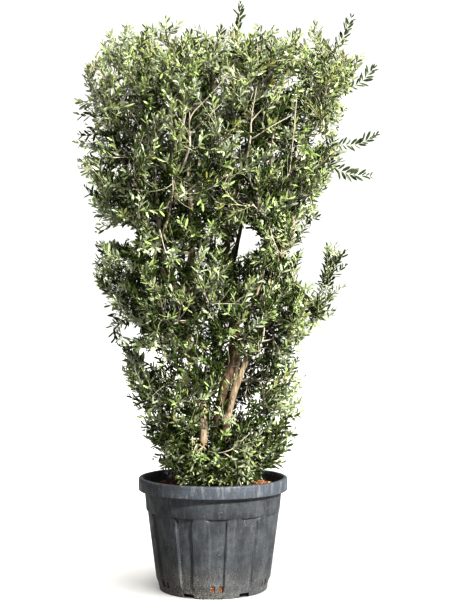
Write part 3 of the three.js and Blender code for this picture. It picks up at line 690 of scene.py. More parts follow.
def shoot_curves(feet, tips, leanings, chance):
    """Curves that leave each foot along its twig and bend up and outwards to their tips."""
    straight = tips - feet
    reach = np.linalg.norm(straight, axis=1, keepdims=True)
    start = unit(BEND["lean"] * leanings + unit(straight))
    rising = np.clip((tips[:, 2:] - BEND["lift_from"]) / BEND["lift_over"], 0, 1)
    end = unit(straight) + BEND["lift"] * rising * vec(0, 0, 1) + BEND["outward"] * outward(tips)
    end = unit(end + chance.normal(0, BEND["wander"], tips.shape))
    t = np.linspace(0, 1, SHOOT["points"])[None, :, None]
    one, two = feet + start * reach / 3, tips - end * reach / 3
    bend = 3 * (1 - t) ** 2 * t * one[:, None] + 3 * (1 - t) * t**2 * two[:, None]
    return (1 - t) ** 3 * feet[:, None] + bend + t**3 * tips[:, None]


def shoot_costs(places, leanings, tip):
    """What it costs a shoot to reach the tip from each place on the twigs, whose leanings are given."""
    away = tip - places
    reach = np.linalg.norm(away, axis=1)
    may_hang = tip[2] <= SKIRT_HANGS and abs(tip[0] - SKIRT_MIDDLE) <= SKIRT_HALF_WIDTH
    droop = np.maximum(0, places[:, 2] + 0.65 * reach - tip[2]) * (not may_hang)
    turn = np.maximum(0, EASY_TURN - dots(unit(away), leanings))
    costs = 0.4 * reach + 2 * DROOP_COST * droop + 1.5 * TURN_COST * turn
    costs[(reach < SHOOT["shortest"]) | (reach > SHOOT["longest"])] = np.inf
    return costs


def place_shoots(curves, tips, chance):
    """Stands each tip's shoot on the twig that it reaches best, and drops those with no clear way."""
    places = np.vstack([curve for curve, _ in curves])
    leanings = np.vstack([unit(np.gradient(curve, axis=0)) for curve, _ in curves])
    crowding = np.zeros(len(places))
    shoots = []
    for tip in tips[np.argsort(-crown_depth(tips))]:
        costs = shoot_costs(places, leanings, tip) + crowding
        ranked = [best for best in np.argsort(costs)[:SHOOT["tries"]] if np.isfinite(costs[best])]
        if not ranked:
            continue
        same_tip = np.repeat(tip[None], len(ranked), 0)
        tries = shoot_curves(places[ranked], same_tip, leanings[ranked], chance)
        for best, curve in zip(ranked, tries):
            beyond = curve[2:]
            is_clear = in_space(beyond, -SHOOT_OUTSIDE, 2, limbs=2).all()
            if is_clear and share_kept(beyond).min() > LIT["share"]:
                shoots.append(curve)
                near = np.linalg.norm(places - places[best], axis=1) < CROWDING["reach"]
                crowding[near] += CROWDING["cost"]
                break
    return shoots


def bowed(foot, tip, bow, count):
    """A shoot of so many points from foot to tip, with its middle moved by the bow."""
    return resampled(smooth_curve([foot, (foot + tip) / 2 + bow, tip], 6), count)


def long_shoots(mass_number, chance):
    """The mass's shoots that stand out of the crown, and the places where its twigs must carry them."""
    shoots, carriers = [], []
    for foot, tip, spread in SHOOTS:
        foot, tip = vec(*foot), vec(*tip)
        if owner(foot[None])[0] != mass_number:
            continue
        way = tip - foot
        reach = np.linalg.norm(way)
        carriers.append(foot)
        if spread > BRANCHING_SPREAD:
            carriers += [foot + share * way for share in (0.25, 0.5, 0.75)]
            foot = foot + 0.75 * way
        bow = vec(0, 0, -0.09 * reach) + chance.normal(0, 0.02 * reach, 3)
        shoots.append(bowed(foot, tip, bow, LONG_SHOOT["points"]))
    for foot, tip in SIDE_SHOOTS:
        foot, tip = vec(*foot), vec(*tip)
        if owner(foot[None])[0] == mass_number:
            carriers.append(foot)
            bow = vec(-14, 0, 12) + chance.normal(0, 5, 3)
            shoots.append(bowed(foot, tip, bow, SIDE_SHOOT_POINTS))
    return shoots, carriers


def grow_mass(mass, targets, tips, chance):
    """One mass's woody twigs, each a curve with its radii, and its leafy shoots."""
    standing, carriers = long_shoots(list(MASSES).index(mass), chance)
    if carriers:
        targets = np.vstack([targets, carriers])
    points, parents, leading = grow_twigs(mass, targets)
    load = np.ones(len(points))
    load[parents[1:]] = 0
    load[leading] += LEADER["load"]
    carried = count_tips(parents, load)
    curves = [run_curve(run, points, carried) for run in twig_runs(parents, carried)]
    return curves, place_shoots(curves, tips, chance) + standing


# Leaves


def is_long(shoot):
    """Whether a shoot is one of those that stand out of the crown."""
    return len(shoot) == LONG_SHOOT["points"]


def rows_along(shoots):
    """Stations up every shoot: its number, place, growth, two sides, rank, share of the way, if long."""
    stations = []
    for i, shoot in enumerate(shoots):
        way = lengths_along(shoot)
        rule = LONG_SHOOT if is_long(shoot) else LEAF
        count = max(3, int(way[-1] * (1 - rule["bare"]) / rule["spacing"]))
        place = places_at(shoot, way, np.linspace(rule["bare"] * way[-1], way[-1], count))
        growth = unit(np.gradient(place, axis=0))
        stations.append((np.full(count, i), place, growth, np.arange(count), np.linspace(0, 1, count)))
    which, place, growth, rank, share = (np.concatenate(column) for column in zip(*stations))
    long = np.array([is_long(shoot) for shoot in shoots])[which]
    aside = np.where(long[:, None], vec(0, 1, 0), vec(0.13, 0.31, 0.94))
    level = unit(np.cross(growth, aside))
    return which, place, growth, level, np.cross(growth, level), rank, share, long


def leaf_pairs(shoots, chance):
    """Opposite pairs of leaves, each a quarter turn on from the last: foot, line, face, size and shoot."""
    which, place, growth, level, side, rank, share, long = rows_along(shoots)
    count = len(rank)
    first_turn = chance.uniform(0, math.pi, len(shoots))[which]
    turn = np.where(long, 0, first_turn + rank * math.pi / 2)
    turn += chance.normal(0, 1, count) * np.where(long, LONG_SHOOT["twist"], LEAF["twist"])
    opening = np.radians(np.where(long, 46 - 18 * share, 50 - 24 * share**3))
    opening += chance.normal(0, 0.13, count)
    towards_tip = np.minimum(1, 0.5 + 1.6 * (1 - share))
    from_foot = 0.82 + 0.18 * np.minimum(1, 4 * share)
    size = towards_tip * from_foot * np.where(long, LONG_SHOOT["growth"], 1)
    rolling = np.where(long, LONG_SHOOT["roll"], LEAF["roll"])
    leaves = []
    for way in (-1, 1):
        line = swung(opening, growth, way * swung(turn, level, side))
        line = unit(line + vec(0, 0, LEAF["lift"]) + chance.normal(0, 0.1, line.shape))
        aim = np.where(long[:, None], growth + vec(0.2, -1.6, 0.5), growth)
        face = unit(aim - dots(aim, line)[:, None] * line)
        face = swung(rolling * chance.normal(0, 1, count), face, np.cross(line, face))
        scale = size * chance.uniform(0.78, 1.18, count)
        leaves.append((place, line, face, scale, which))
    return [np.concatenate(column) for column in zip(*leaves)]


# A leaf's points: shares of its length, of its width and of its thickness, and how far it curls back
LEAF_POINTS = np.array([
    [0.0, 0.0, 0.0, 0.0],
    [0.32, -0.45, 0.0, 0.03],
    [0.32, 0.45, 0.0, 0.03],
    [0.74, -0.46, 0.0, 0.12],
    [0.74, 0.46, 0.0, 0.12],
    [1.0, 0.0, 0.0, 0.2],
    [0.32, 0.0, 1.0, 0.03],
    [0.74, 0.0, 0.9, 0.12],
])
LEAF_TOP = [(0, 2, 6), (0, 6, 1), (6, 2, 4), (6, 4, 7), (1, 6, 7), (1, 7, 3), (7, 4, 5), (3, 7, 5)]
LEAF_UNDER = [(0, 1, 2), (1, 3, 2), (2, 3, 4), (3, 5, 4)]


def leaf_points(foot, line, face, scale, chance):
    """The eight points of each leaf."""
    across = unit(np.cross(line, face))
    length = LEAF["length"] * scale
    width = LEAF["width"] * scale * chance.uniform(0.85, 1.15, len(scale))
    thick = LEAF["thickness"] * (0.6 + 0.4 * scale)
    curl = chance.normal(0.5, 0.6, len(scale)) * length
    along, wide, high, back = LEAF_POINTS.T
    out = thick[:, None] * high - curl[:, None] * back
    points = foot[:, None] + (length[:, None] * along)[..., None] * line[:, None]
    points = points + (width[:, None] * wide)[..., None] * across[:, None]
    return points + out[..., None] * face[:, None]


# Twigs as meshes


def tube_mesh(lines, sides):
    """Closed tubes of so many sides along rows of points with their radii, each pointed at its tip."""
    points, corners, total = [], [], 0
    turn = np.linspace(0, 2 * math.pi, sides, endpoint=False)
    for line, radii in lines:
        growth = unit(np.gradient(line, axis=0))
        level = unit(np.cross(growth, vec(0.83, 0.55, 0.1)))
        ring = swung(turn, level[:-1, None], np.cross(growth, level)[:-1, None])
        rings = line[:-1, None] + radii[:-1, None, None] * ring
        points += [rings.reshape(-1, 3), line[-1:], line[:1]]
        count = len(line) - 1
        ids = np.arange(count * sides).reshape(count, sides)
        ahead = np.roll(ids, -1, axis=1)
        low, low_next = ids[:-1].ravel(), ahead[:-1].ravel()
        high, high_next = ids[1:].ravel(), ahead[1:].ravel()
        tip, foot = count * sides, count * sides + 1
        rows = [
            np.stack([low, low_next, high_next], axis=1),
            np.stack([low, high_next, high], axis=1),
            np.stack([ids[-1], ahead[-1], np.full(sides, tip)], axis=1),
            np.stack([ahead[0], ids[0], np.full(sides, foot)], axis=1),
        ]
        corners.append(np.concatenate(rows) + total)
        total += count * sides + 2
    return np.concatenate(points), np.concatenate(corners)


def into_scene(thing):
    """Puts a new object into the scene and hands it back."""
    bpy.context.scene.collection.objects.link(thing)
    return thing


def joined_piece(name, points, corners, looks, finishes, smooth=False):
    """One object from arrays of points and triangles, each triangle with the number of its finish."""
    points, corners = points.reshape(-1, 3), corners.reshape(-1, 3)
    mesh = bpy.data.meshes.new(name)
    mesh.vertices.add(len(points))
    mesh.vertices.foreach_set("co", (points * MM).astype(np.float32).ravel())
    mesh.loops.add(corners.size)
    mesh.loops.foreach_set("vertex_index", corners.astype(np.int32).ravel())
    mesh.polygons.add(len(corners))
    mesh.polygons.foreach_set("loop_start", np.arange(0, corners.size, 3, dtype=np.int32))
    mesh.polygons.foreach_set("material_index", np.asarray(looks, np.int32))
    mesh.polygons.foreach_set("use_smooth", np.full(len(corners), smooth))
    for material in finishes:
        mesh.materials.append(material)
    mesh.update(calc_edges=True)
    mesh.validate()
    return into_scene(bpy.data.objects.new(name, mesh))


# Finishes


def finish(name, colour, roughness, specular=0.5):
    """A plain finish, for the many small things."""
    material = bpy.data.materials.new(name)
    material.use_nodes = True
    shader = material.node_tree.nodes["Principled BSDF"]
    shader.inputs["Base Color"].default_value = (*colour, 1)
    shader.inputs["Roughness"].default_value = roughness
    shader.inputs["Specular IOR Level"].default_value = specular
    return material


class Recipe:
    """Builds a patterned finish from nodes that read the object's own coordinates."""

    def __init__(self, name, roughness, specular=0.25):
        self.material = finish(name, (0.5, 0.5, 0.5), roughness, specular)
        self.tree = self.material.node_tree
        self.shader = self.tree.nodes["Principled BSDF"]
        self.place = self.tree.nodes.new("ShaderNodeTexCoord").outputs["Object"]

    def add(self, kind, inputs=(), **settings):
        node = self.tree.nodes.new(kind)
        for key, value in settings.items():
            setattr(node, key, value)
        for key, value in dict(inputs).items():
            if isinstance(value, bpy.types.NodeSocket):
                self.tree.links.new(value, node.inputs[key])
            else:
                node.inputs[key].default_value = value
        return node

    def along(self, axis):
        return self.add("ShaderNodeSeparateXYZ", {"Vector": self.place}).outputs[axis]

    def cloud(self, scale, detail=6, stretch=(1, 1, 1), rough=0.6):
        where = self.add("ShaderNodeMapping", {"Vector": self.place, "Scale": stretch}).outputs["Vector"]
        values = {"Vector": where, "Scale": scale, "Detail": detail, "Roughness": rough}
        return self.add("ShaderNodeTexNoise", values).outputs["Fac"]

    def ramp(self, value, low, high, start=0.0, end=1.0):
        """The value mapped smoothly from low..high to start..end."""
        values = {"Value": value, "From Min": low, "From Max": high, "To Min": start, "To Max": end}
        return self.add("ShaderNodeMapRange", values, interpolation_type="SMOOTHSTEP").outputs["Result"]

    def times(self, one, two):
        return self.add("ShaderNodeMath", {0: one, 1: two}, operation="MULTIPLY").outputs[0]

    def mixed(self, share, one, two):
        """One tone turned into the other by a share. A tone is a node's output or a plain colour."""
        one, two = (tone if isinstance(tone, bpy.types.NodeSocket) else (*tone, 1) for tone in (one, two))
        return self.add("ShaderNodeMix", {0: share, 6: one, 7: two}, data_type="RGBA").outputs[2]

    def drives(self, socket, value):
        self.tree.links.new(value, self.shader.inputs[socket])

    def relief(self, height, depth, strength=1.0):
        bump = self.add("ShaderNodeBump", {"Height": height, "Distance": depth, "Strength": strength})
        self.drives("Normal", bump.outputs["Normal"])


def pot_plastic():
    """Dark grey moulded plastic, dusty, with rain streaks, pale specks and dried soil at its foot."""
    recipe = Recipe("pot_plastic", 0.6, 0.3)
    height, across = recipe.along("Z"), recipe.along("X")
    dust = recipe.ramp(recipe.cloud(13, 10, rough=0.72), 0.38, 0.68)
    tone = recipe.mixed(dust, (0.017, 0.019, 0.022), (0.042, 0.046, 0.052))
    streaks = recipe.ramp(recipe.cloud(1, 8, (90, 90, 3.2)), 0.48, 0.75, 0, 0.55)
    tone = recipe.mixed(streaks, tone, (0.07, 0.075, 0.081))
    rim = recipe.ramp(height, 0.385, 0.41, 0, 0.6)
    tone = recipe.mixed(rim, tone, (0.046, 0.055, 0.069))
    smears = recipe.ramp(recipe.cloud(1, 6, (70, 70, 14)), 0.5, 0.66, 0, 0.9)
    tone = recipe.mixed(recipe.times(rim, smears), tone, (0.13, 0.138, 0.146))
    left = recipe.ramp(across, -0.15, 0.2, 1, 0.3)
    # Dark blotches on the rim, heavier towards the left.
    dark_blotches = recipe.ramp(recipe.cloud(1, 7, (26, 26, 18), 0.75), 0.47, 0.6, 0, 1.6)
    tone = recipe.mixed(recipe.times(recipe.times(rim, left), dark_blotches), tone, (0.03, 0.033, 0.038))
    low = recipe.times(recipe.ramp(height, 0.0, 0.17, 1, 0), left)
    dirt = recipe.ramp(recipe.cloud(230, 6, rough=0.8), 0.47, 0.62)
    tone = recipe.mixed(recipe.times(low, dirt), tone, (0.22, 0.198, 0.165))
    grains = recipe.ramp(recipe.cloud(270, 3), 0.63, 0.7, 0, 0.85)
    patchy = recipe.ramp(recipe.cloud(9, 4), 0.42, 0.62, 0.1, 1)
    tone = recipe.mixed(recipe.times(grains, patchy), tone, (0.27, 0.265, 0.25))
    # Painted shade: the pot's left side is darkened towards near black, as the side away from the sun.
    painted_left_shade = recipe.ramp(across, -0.26, -0.08, 0.45, 0)
    recipe.drives("Base Color", recipe.mixed(painted_left_shade, tone, (0.012, 0.013, 0.015)))
    recipe.drives("Roughness", recipe.ramp(recipe.cloud(20, 5), 0.3, 0.7, 0.48, 0.75))
    recipe.relief(recipe.cloud(140, 6), 0.0006, 0.5)
    return recipe.material


def soil_mix():
    """Loose coir and bark potting mix, orange brown where it is dry."""
    recipe = Recipe("soil_mix", 0.95)
    dry = recipe.ramp(recipe.cloud(60, 8), 0.35, 0.65)
    tone = recipe.mixed(dry, (0.045, 0.022, 0.012), (0.2, 0.085, 0.035))
    fibres = recipe.ramp(recipe.cloud(150, 5, (1, 1, 0.5)), 0.55, 0.68)
    recipe.drives("Base Color", recipe.mixed(fibres, tone, (0.36, 0.2, 0.1)))
    recipe.relief(recipe.cloud(190, 8), 0.004)
    return recipe.material


def bark(name, pale, dark, warm):
    """Furrowed bark that weathers grey and shows warm brown in its cracks and towards its foot."""
    recipe = Recipe(name, 0.9)
    furrows = recipe.cloud(1, 7, (150, 150, 22))
    tone = recipe.mixed(recipe.ramp(furrows, 0.38, 0.6), dark, pale)
    low = recipe.ramp(recipe.along("Z"), 0.55, 1.0, 1, 0)
    patches = recipe.ramp(recipe.cloud(14, 5), 0.42, 0.6)
    tone = recipe.mixed(recipe.times(patches, low), tone, warm)
    lichen = recipe.ramp(recipe.cloud(48, 4), 0.63, 0.7, 0, 0.5)
    recipe.drives("Base Color", recipe.mixed(lichen, tone, tuple(0.5 * part + 0.14 for part in pale)))
    recipe.relief(furrows, 0.002, 0.8)
    return recipe.material


# A spray's leaves: their colours above and below, how they shine, and the share of the shoots that have
# them low in the crown and at its top. The deep ones are dark as painted shade for shoots low down and
# inside the crown. The dark ones, painted shade for shoots seen against the light, are kept for the long
# shoots at the top.
SPRAYS = {
    "deep": ((0.022, 0.036, 0.006), (0.04, 0.055, 0.018), 0.04, (0.26, 0.01)),
    "mid": ((0.182, 0.24, 0.086), (0.19, 0.222, 0.124), 0.5, (0.36, 0.16)),
    "grey": ((0.208, 0.236, 0.16), (0.215, 0.238, 0.18), 0.6, (0.18, 0.18)),
    "fresh": ((0.147, 0.172, 0.066), (0.166, 0.188, 0.104), 0.45, (0.16, 0.42)),
    "yellow": ((0.158, 0.157, 0.048), (0.165, 0.169, 0.082), 0.35, (0.03, 0.09)),
    "dark": ((0.024, 0.036, 0.012), (0.045, 0.056, 0.028), 0.15, (0, 0)),
}
SHADED_DEEP, MID, GREY, FRESH, YELLOW, SHADED_DARK = range(len(SPRAYS))
SPRAY_SHARES = np.array([shares for _, _, _, shares in SPRAYS.values()])
SPRAY_FINISHES = []
for spray, (upper, under, shine, _) in SPRAYS.items():
    SPRAY_FINISHES.append(finish("leaf_" + spray, upper, 0.4, shine))
    SPRAY_FINISHES.append(finish("leaf_under_" + spray, under, 0.75, 0.2 * shine))
TWIG_FINISHES = [
    finish("twig_bark", (0.262, 0.236, 0.184), 0.85),
    finish("shoot_skin", (0.28, 0.27, 0.18), 0.7),
]

# The share of a shoot's leaves that take another of the common colours
ODD_LEAVES = 0.4


def spray_of(shoots, chance):
    """The number of each shoot's colours: fresher towards the top, and dark as painted shade low down and
    inside.
    """
    tips = np.array([shoot[-1] for shoot in shoots])
    high = np.clip((tips[:, 2] - 1450) / 650, 0, 1)
    foot = np.clip((1350 - tips[:, 2]) / 300, 0, 1)
    inner = np.clip((crown_depth(tips) - 50) / 55, 0, 1)
    shares = np.stack([1 - high, high], axis=1) @ SPRAY_SHARES.T
    # Painted shade: shoots low down and deep inside the crown take the dark deep colours, less so near the
    # top.
    shares[:, SHADED_DEEP] += 0.2 * foot + 3.2 * inner * (1 - 0.95 * high)
    drawn = np.clip(chance.uniform(0, 1, len(tips)) + 0.25 * wave(tips, 140), 0, 0.999)
    colours = np.argmax(np.cumsum(shares / shares.sum(1, keepdims=True), axis=1) > drawn[:, None], axis=1)
    # Painted shade: the long shoots high up take the dark colours, as seen against the light.
    long_colours = np.where(tips[:, 2] > 1500, SHADED_DARK, FRESH)
    return np.where([is_long(shoot) for shoot in shoots], long_colours, colours)


# The crown


def twig_targets(chance):
    """Where twigs fork and end: a loose grid in the crown, off the thin places and the leading twigs."""
    targets = loose_grid(TWIG["spacing"], TWIG["scatter"], chance)
    targets = targets[in_space(targets, TWIG["depth"], TWIG["off_gaps"], TWIG["off_limbs"])]
    full = share_kept(targets) == 1
    targets = targets[full | (chance.uniform(0, 1, len(targets)) < TWIGS_IN_THIN_PLACES)]
    clear = np.full(len(targets), np.inf)
    for row in sum(LEADERS.values(), []):
        for start, end in zip(row, row[1:]):
            clear = np.minimum(clear, distance_to_line(targets, start, end))
    return targets[clear > LEADER_CLEARANCE]


def edge_depth(tips):
    """How deep inside the outline each tip has to lie, so that the crown's edge is ragged."""
    x, z = tips[:, 0], tips[:, 2]
    ragged = RAGGED["least"] + RAGGED["swing"] * wave(tips, RAGGED["size"])
    ragged += RAGGED["top"] * (z > CLIPPED_TOP)
    ragged += RAGGED["shoulder"] * ((x < LEFT_SHOULDER[0]) & (z > LEFT_SHOULDER[1]))
    in_middle = np.abs(x - SKIRT_MIDDLE) < SKIRT_HALF_WIDTH
    return ragged + np.where(in_middle, RAGGED["skirt_middle"], RAGGED["skirt"]) * (z < SKIRT_TOP)


def shoot_tips(chance):
    """Where leafy shoots end: a loose grid, full near the outline, thin inside, with sprigs drawn out."""
    tips = loose_grid(SHOOT["spacing"], SHOOT["scatter"], chance)
    for low, high, count in SKIRT_TIPS:
        tips = np.vstack([tips, chance.uniform(vec(*low), vec(*high), (count, 3))])
    z = tips[:, 2]
    depths = crown_depth(tips, SHOOTS[-1:])
    hollow = (wave(tips + 500, HOLLOW["size"]) < HOLLOW["level"]) & (depths < HOLLOW["depth"])
    hollow &= (z > HOLLOW["from"]) & (z < HOLLOW["to"])
    dense = (depths < SHOOT["shell"]) | (z < SHOOT["dense_below"])
    dense |= chance.uniform(0, 1, len(tips)) < SHOOT["inner_share"]
    kept = (depths > edge_depth(tips)) & ~hollow & dense
    tips, depths = tips[kept], depths[kept]
    topmost = tips[:, 2] > CLIPPED_TOP
    length, shell, rise = (np.where(topmost, top, side) for top, side in zip(TOP_SPRIGS, SIDE_SPRIGS))
    sprigs = np.minimum(chance.exponential(1, len(tips)), LONGEST_SPRIG) * length * (depths < shell)
    way = unit(outward(tips) * vec(1, 0.4, 1) + rise[:, None] * vec(0, 0, 1))
    tips = tips + sprigs[:, None] * way
    tips = tips[in_space(tips, -TIP_OUTSIDE, 6 + 24 * wave(tips, 45)) & in_box(tips)]
    return tips[chance.uniform(0, 1, len(tips)) < share_kept(tips)]


def crown():
    """Every tier's twigs and leaves."""
    chance = np.random.default_rng(SEED)
    targets = twig_targets(chance)
    tips = shoot_tips(chance)
    target_owner, tip_owner = owner(targets), owner(tips)
    for tier in TIERS:
        parts = {}
        for i, (mass, (_, _, centre)) in enumerate(MASSES.items()):
            if TIER_OF.get(mass, mass.split("_")[0]) != tier:
                continue
            side = "_left" if centre[0] < SPLIT_AT else "_right"
            part = tier + side if tier in SPLIT_TIERS else tier
            twigs, shoots, nodes = parts.setdefault(part, ([], [], []))
            curves, leafy = grow_mass(mass, targets[target_owner == i], tips[tip_owner == i], chance)
            twigs += curves
            shoots += leafy
            nodes.append("foliage_" + mass)
        for part, (twigs, shoots, nodes) in parts.items():
            dress(part, nodes, twigs, shoots, chance)


def twigs_piece(part, twigs, shoots):
    """The woody twigs and the stalks of the leafy shoots, in one piece."""
    stalks = [(shoot, np.linspace(*STALK["radii"], len(shoot))) for shoot in shoots]
    wood_points, wood_corners = tube_mesh(twigs, TWIG["sides"])
    stalk_points, stalk_corners = tube_mesh(stalks, STALK["sides"])
    looks = np.repeat([0, 1], [len(wood_corners), len(stalk_corners)])
    corners = np.concatenate([wood_corners, stalk_corners + len(wood_points)])
    points = np.concatenate([wood_points, stalk_points])
    return joined_piece("twigs_" + part, points, corners, looks, TWIG_FINISHES, smooth=True)


def leaves_piece(part, shoots, chance):
    """The leaves of the shoots that stay clear of the sky gaps, each with its finish above and below."""
    foot, line, face, scale, which = leaf_pairs(shoots, chance)
    points = leaf_points(foot, line, face, scale, chance)
    ends = foot + line * (LEAF["length"] * scale)[:, None]
    kept = in_space(ends, -LEAF_OUTSIDE, -10 + 30 * wave(ends, 30), limbs=0) & ~in_sky_gap(foot, -8)
    kept &= (chance.uniform(0, 1, len(ends)) < share_kept(ends)) & in_box(points).all(axis=1)
    points = points[kept]
    corners = np.array(LEAF_TOP + LEAF_UNDER) + len(LEAF_POINTS) * np.arange(len(points))[:, None, None]
    colour = spray_of(shoots, chance)[which[kept]]
    odd = (chance.uniform(0, 1, len(colour)) < ODD_LEAVES) & (colour > SHADED_DEEP) & (colour < SHADED_DARK)
    colour[odd] = chance.integers(MID, YELLOW, odd.sum())
    under = np.repeat([0, 1], [len(LEAF_TOP), len(LEAF_UNDER)])
    looks = (2 * colour[:, None] + under).ravel()
    return joined_piece("leaves_" + part, points, corners, looks, SPRAY_FINISHES)


def dress(part, nodes, twigs, shoots, chance):
    """A part of the crown: its twigs in one piece and its leaves in another."""
    wood = twigs_piece(part, twigs, shoots)
    leaves = leaves_piece(part, shoots, chance)
    for piece, slot in ((wood, "bark"), (leaves, "foliage")):
        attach(piece, "root")
    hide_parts(*nodes)


# Modelling by hand


def deselect():
    bpy.ops.object.select_all(action="DESELECT")


def start_editing():
    """Goes into edit mode on the active piece, with all of it selected."""
    bpy.ops.object.mode_set(mode="EDIT")
    bpy.ops.mesh.select_all(action="SELECT")


def apply_place():
    bpy.ops.object.transform_apply(location=True, rotation=True, scale=True)


def turned_shell(name, profile, columns, turn=0.0):
    """A closed shell turned round Z: a disc, drawn ring by ring along the profile of radii and heights."""
    deselect()
    radius, height = profile[0]
    bpy.ops.mesh.primitive_circle_add(vertices=columns, radius=radius * MM, fill_type="NGON",
                                      location=(0, 0, height * MM), rotation=(0, 0, turn))
    piece = bpy.context.object
    piece.name = name
    apply_place()
    start_editing()
    for next_radius, next_height in profile[1:]:
        rise = (next_height - height) * MM
        bpy.ops.mesh.extrude_region_move(TRANSFORM_OT_translate={"value": (0, 0, rise)})
        growth = next_radius / radius
        bpy.ops.transform.resize(value=(growth, growth, 1), center_override=(0, 0, next_height * MM))
        radius, height = next_radius, next_height
    bpy.ops.object.mode_set(mode="OBJECT")
    return piece


def swell(piece, amount):
    """Moves a turned shell's points out from Z by amount(angle in degrees, height, radius)."""
    groups = {}
    for vertex in piece.data.vertices:
        x, y, z = (round(value / MM, 3) for value in vertex.co)
        radius = math.hypot(x, y)
        shift = round(amount(math.degrees(math.atan2(y, x)), z, radius), 2)
        if abs(shift) > 0.01:
            groups.setdefault(round((radius + shift) / radius, 5), []).append(vertex.index)
    bpy.context.view_layer.objects.active = piece
    bpy.ops.object.mode_set(mode="EDIT")
    mesh = bmesh.from_edit_mesh(piece.data)
    bpy.ops.mesh.select_mode(type="VERT")
    for factor, members in groups.items():
        bpy.ops.mesh.select_all(action="DESELECT")
        mesh.verts.ensure_lookup_table()
        for index in members:
            mesh.verts[index].select = True
        mesh.select_flush_mode()
        bpy.ops.transform.resize(value=(factor, factor, 1), center_override=(0, 0, 0))
    bpy.ops.object.mode_set(mode="OBJECT")


def apply_modifier(piece, kind, **settings):
    bpy.context.view_layer.objects.active = piece
    modifier = piece.modifiers.new(kind.lower(), kind)
    for key, value in settings.items():
        setattr(modifier, key, value)
    bpy.ops.object.modifier_apply(modifier=modifier.name)


def hand_over(piece, slot, material, *nodes, angle=35):
    """Gives a finished piece its finish and its place on the part."""
    piece.data.materials.clear()
    piece.data.materials.append(material)
    deselect()
    piece.select_set(True)
    bpy.context.view_layer.objects.active = piece
    bpy.ops.object.shade_smooth_by_angle(angle=math.radians(angle))
    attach(piece, "root")
    if nodes:
        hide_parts(*nodes)


def hollow_radius(z):
    share = min(1, z / COLLAR["foot"])
    return FOOT_RADIUS + (COLLAR["foot_radius"] - COLLAR["step"] - FOOT_RADIUS) * share


def rounded(centre, radius, first, last, steps=4):
    """Points of an arc in the profile, from the first angle to the last in degrees."""
    angles = [math.radians(first + (last - first) * i / steps) for i in range(steps + 1)]
    return [(centre[0] + radius * math.cos(a), centre[1] + radius * math.sin(a)) for a in angles]


def pot_profile():
    """The pot's outside from its foot, over the rolled lip, and down the inside to the floor."""
    outer, edge, skirt = RIM["radius"], RIM["edge"], RIM["skirt"]
    under = POT_HEIGHT - skirt - edge
    foot, collar, head = COLLAR["foot"], COLLAR["foot_radius"], COLLAR["top_radius"]
    rib_rows = [*range(20, 65, 5), *range(70, 270, 25), *range(265, 315, 5), RIB_TOP]
    steps = [(FOOT_RADIUS - 14, FLOOR), (FOOT_RADIUS - 10, FLOOR - 3)]
    steps += [(FOOT_RADIUS - 8, 1), (FOOT_RADIUS - 7, 0), (FOOT_RADIUS - 2, 0), (FOOT_RADIUS, 2)]
    steps += [(hollow_radius(z), z) for z in [10, *rib_rows]]
    steps += [(collar - 2, foot - 1.5), (collar, foot + 1.5), (collar + 2, foot + 25)]
    steps += [(head, RIM_FOOT), (head + 3, under), (outer - edge, under), (outer - skirt, under - 4)]
    steps += [(outer - skirt, RIM_FOOT + 1), (outer - skirt / 2, RIM_FOOT), (outer - 0.5, RIM_FOOT + 1)]
    steps += [(outer, RIM_FOOT + 12)]
    steps += rounded((outer - edge, POT_HEIGHT - edge), edge, 0, 90)
    steps += rounded((outer - RIM["lip"] + 3, POT_HEIGHT - 3), 3, 90, 180)
    behind = foot - WALL
    steps += [(head - WALL, RIM_FOOT), (collar - WALL, behind + COLLAR["step"])]
    steps += [(hollow_radius(foot) - WALL, behind), (hollow_radius(FLOOR) - WALL, FLOOR + WALL)]
    return steps


def rib_bulge(angle, z, radius):
    """How far a rib stands out: full on its crown, less over its flanks, with rounded upper corners."""
    if radius < hollow_radius(z) - 1 or z > RIB_TOP + 0.5 or z < RIBS["foot"] + 1:
        return 0
    pitch = 360 / RIBS["count"]
    turn = (angle + 90 - RIBS["turn"] + pitch / 2) % pitch - pitch / 2
    across = abs(math.radians(turn) * radius)
    corner = RIBS["corner"]
    half = RIBS["half_width"]
    over = max(0, across - (half - corner))
    above = max(0, z - (RIB_TOP + RIBS["flank"] - corner))
    outside = math.hypot(over, above) - corner
    share = min(1, max(0, -outside / RIBS["flank"]))
    foot = min(1, max(0, (z - RIBS["foot"]) / RIBS["fade"]))
    ease = share * share * (3 - 2 * share)
    return RIBS["bulge"] * ease * foot * foot * (3 - 2 * foot)


def foot_cutter(angle, offset, size, height):
    """A rounded block that cuts through the pot's foot, at an angle and set aside along the wall."""
    x = FOOT_RADIUS * math.cos(angle) - offset * math.sin(angle)
    y = FOOT_RADIUS * math.sin(angle) + offset * math.cos(angle)
    place = (x * MM, y * MM, height * MM)
    deselect()
    bpy.ops.mesh.primitive_cube_add(size=MM, location=place, rotation=(0, 0, angle), scale=size)
    apply_place()
    start_editing()
    bpy.ops.mesh.bevel(offset=4 * MM, segments=3, affect="EDGES")
    bpy.ops.object.mode_set(mode="OBJECT")
    return bpy.context.object


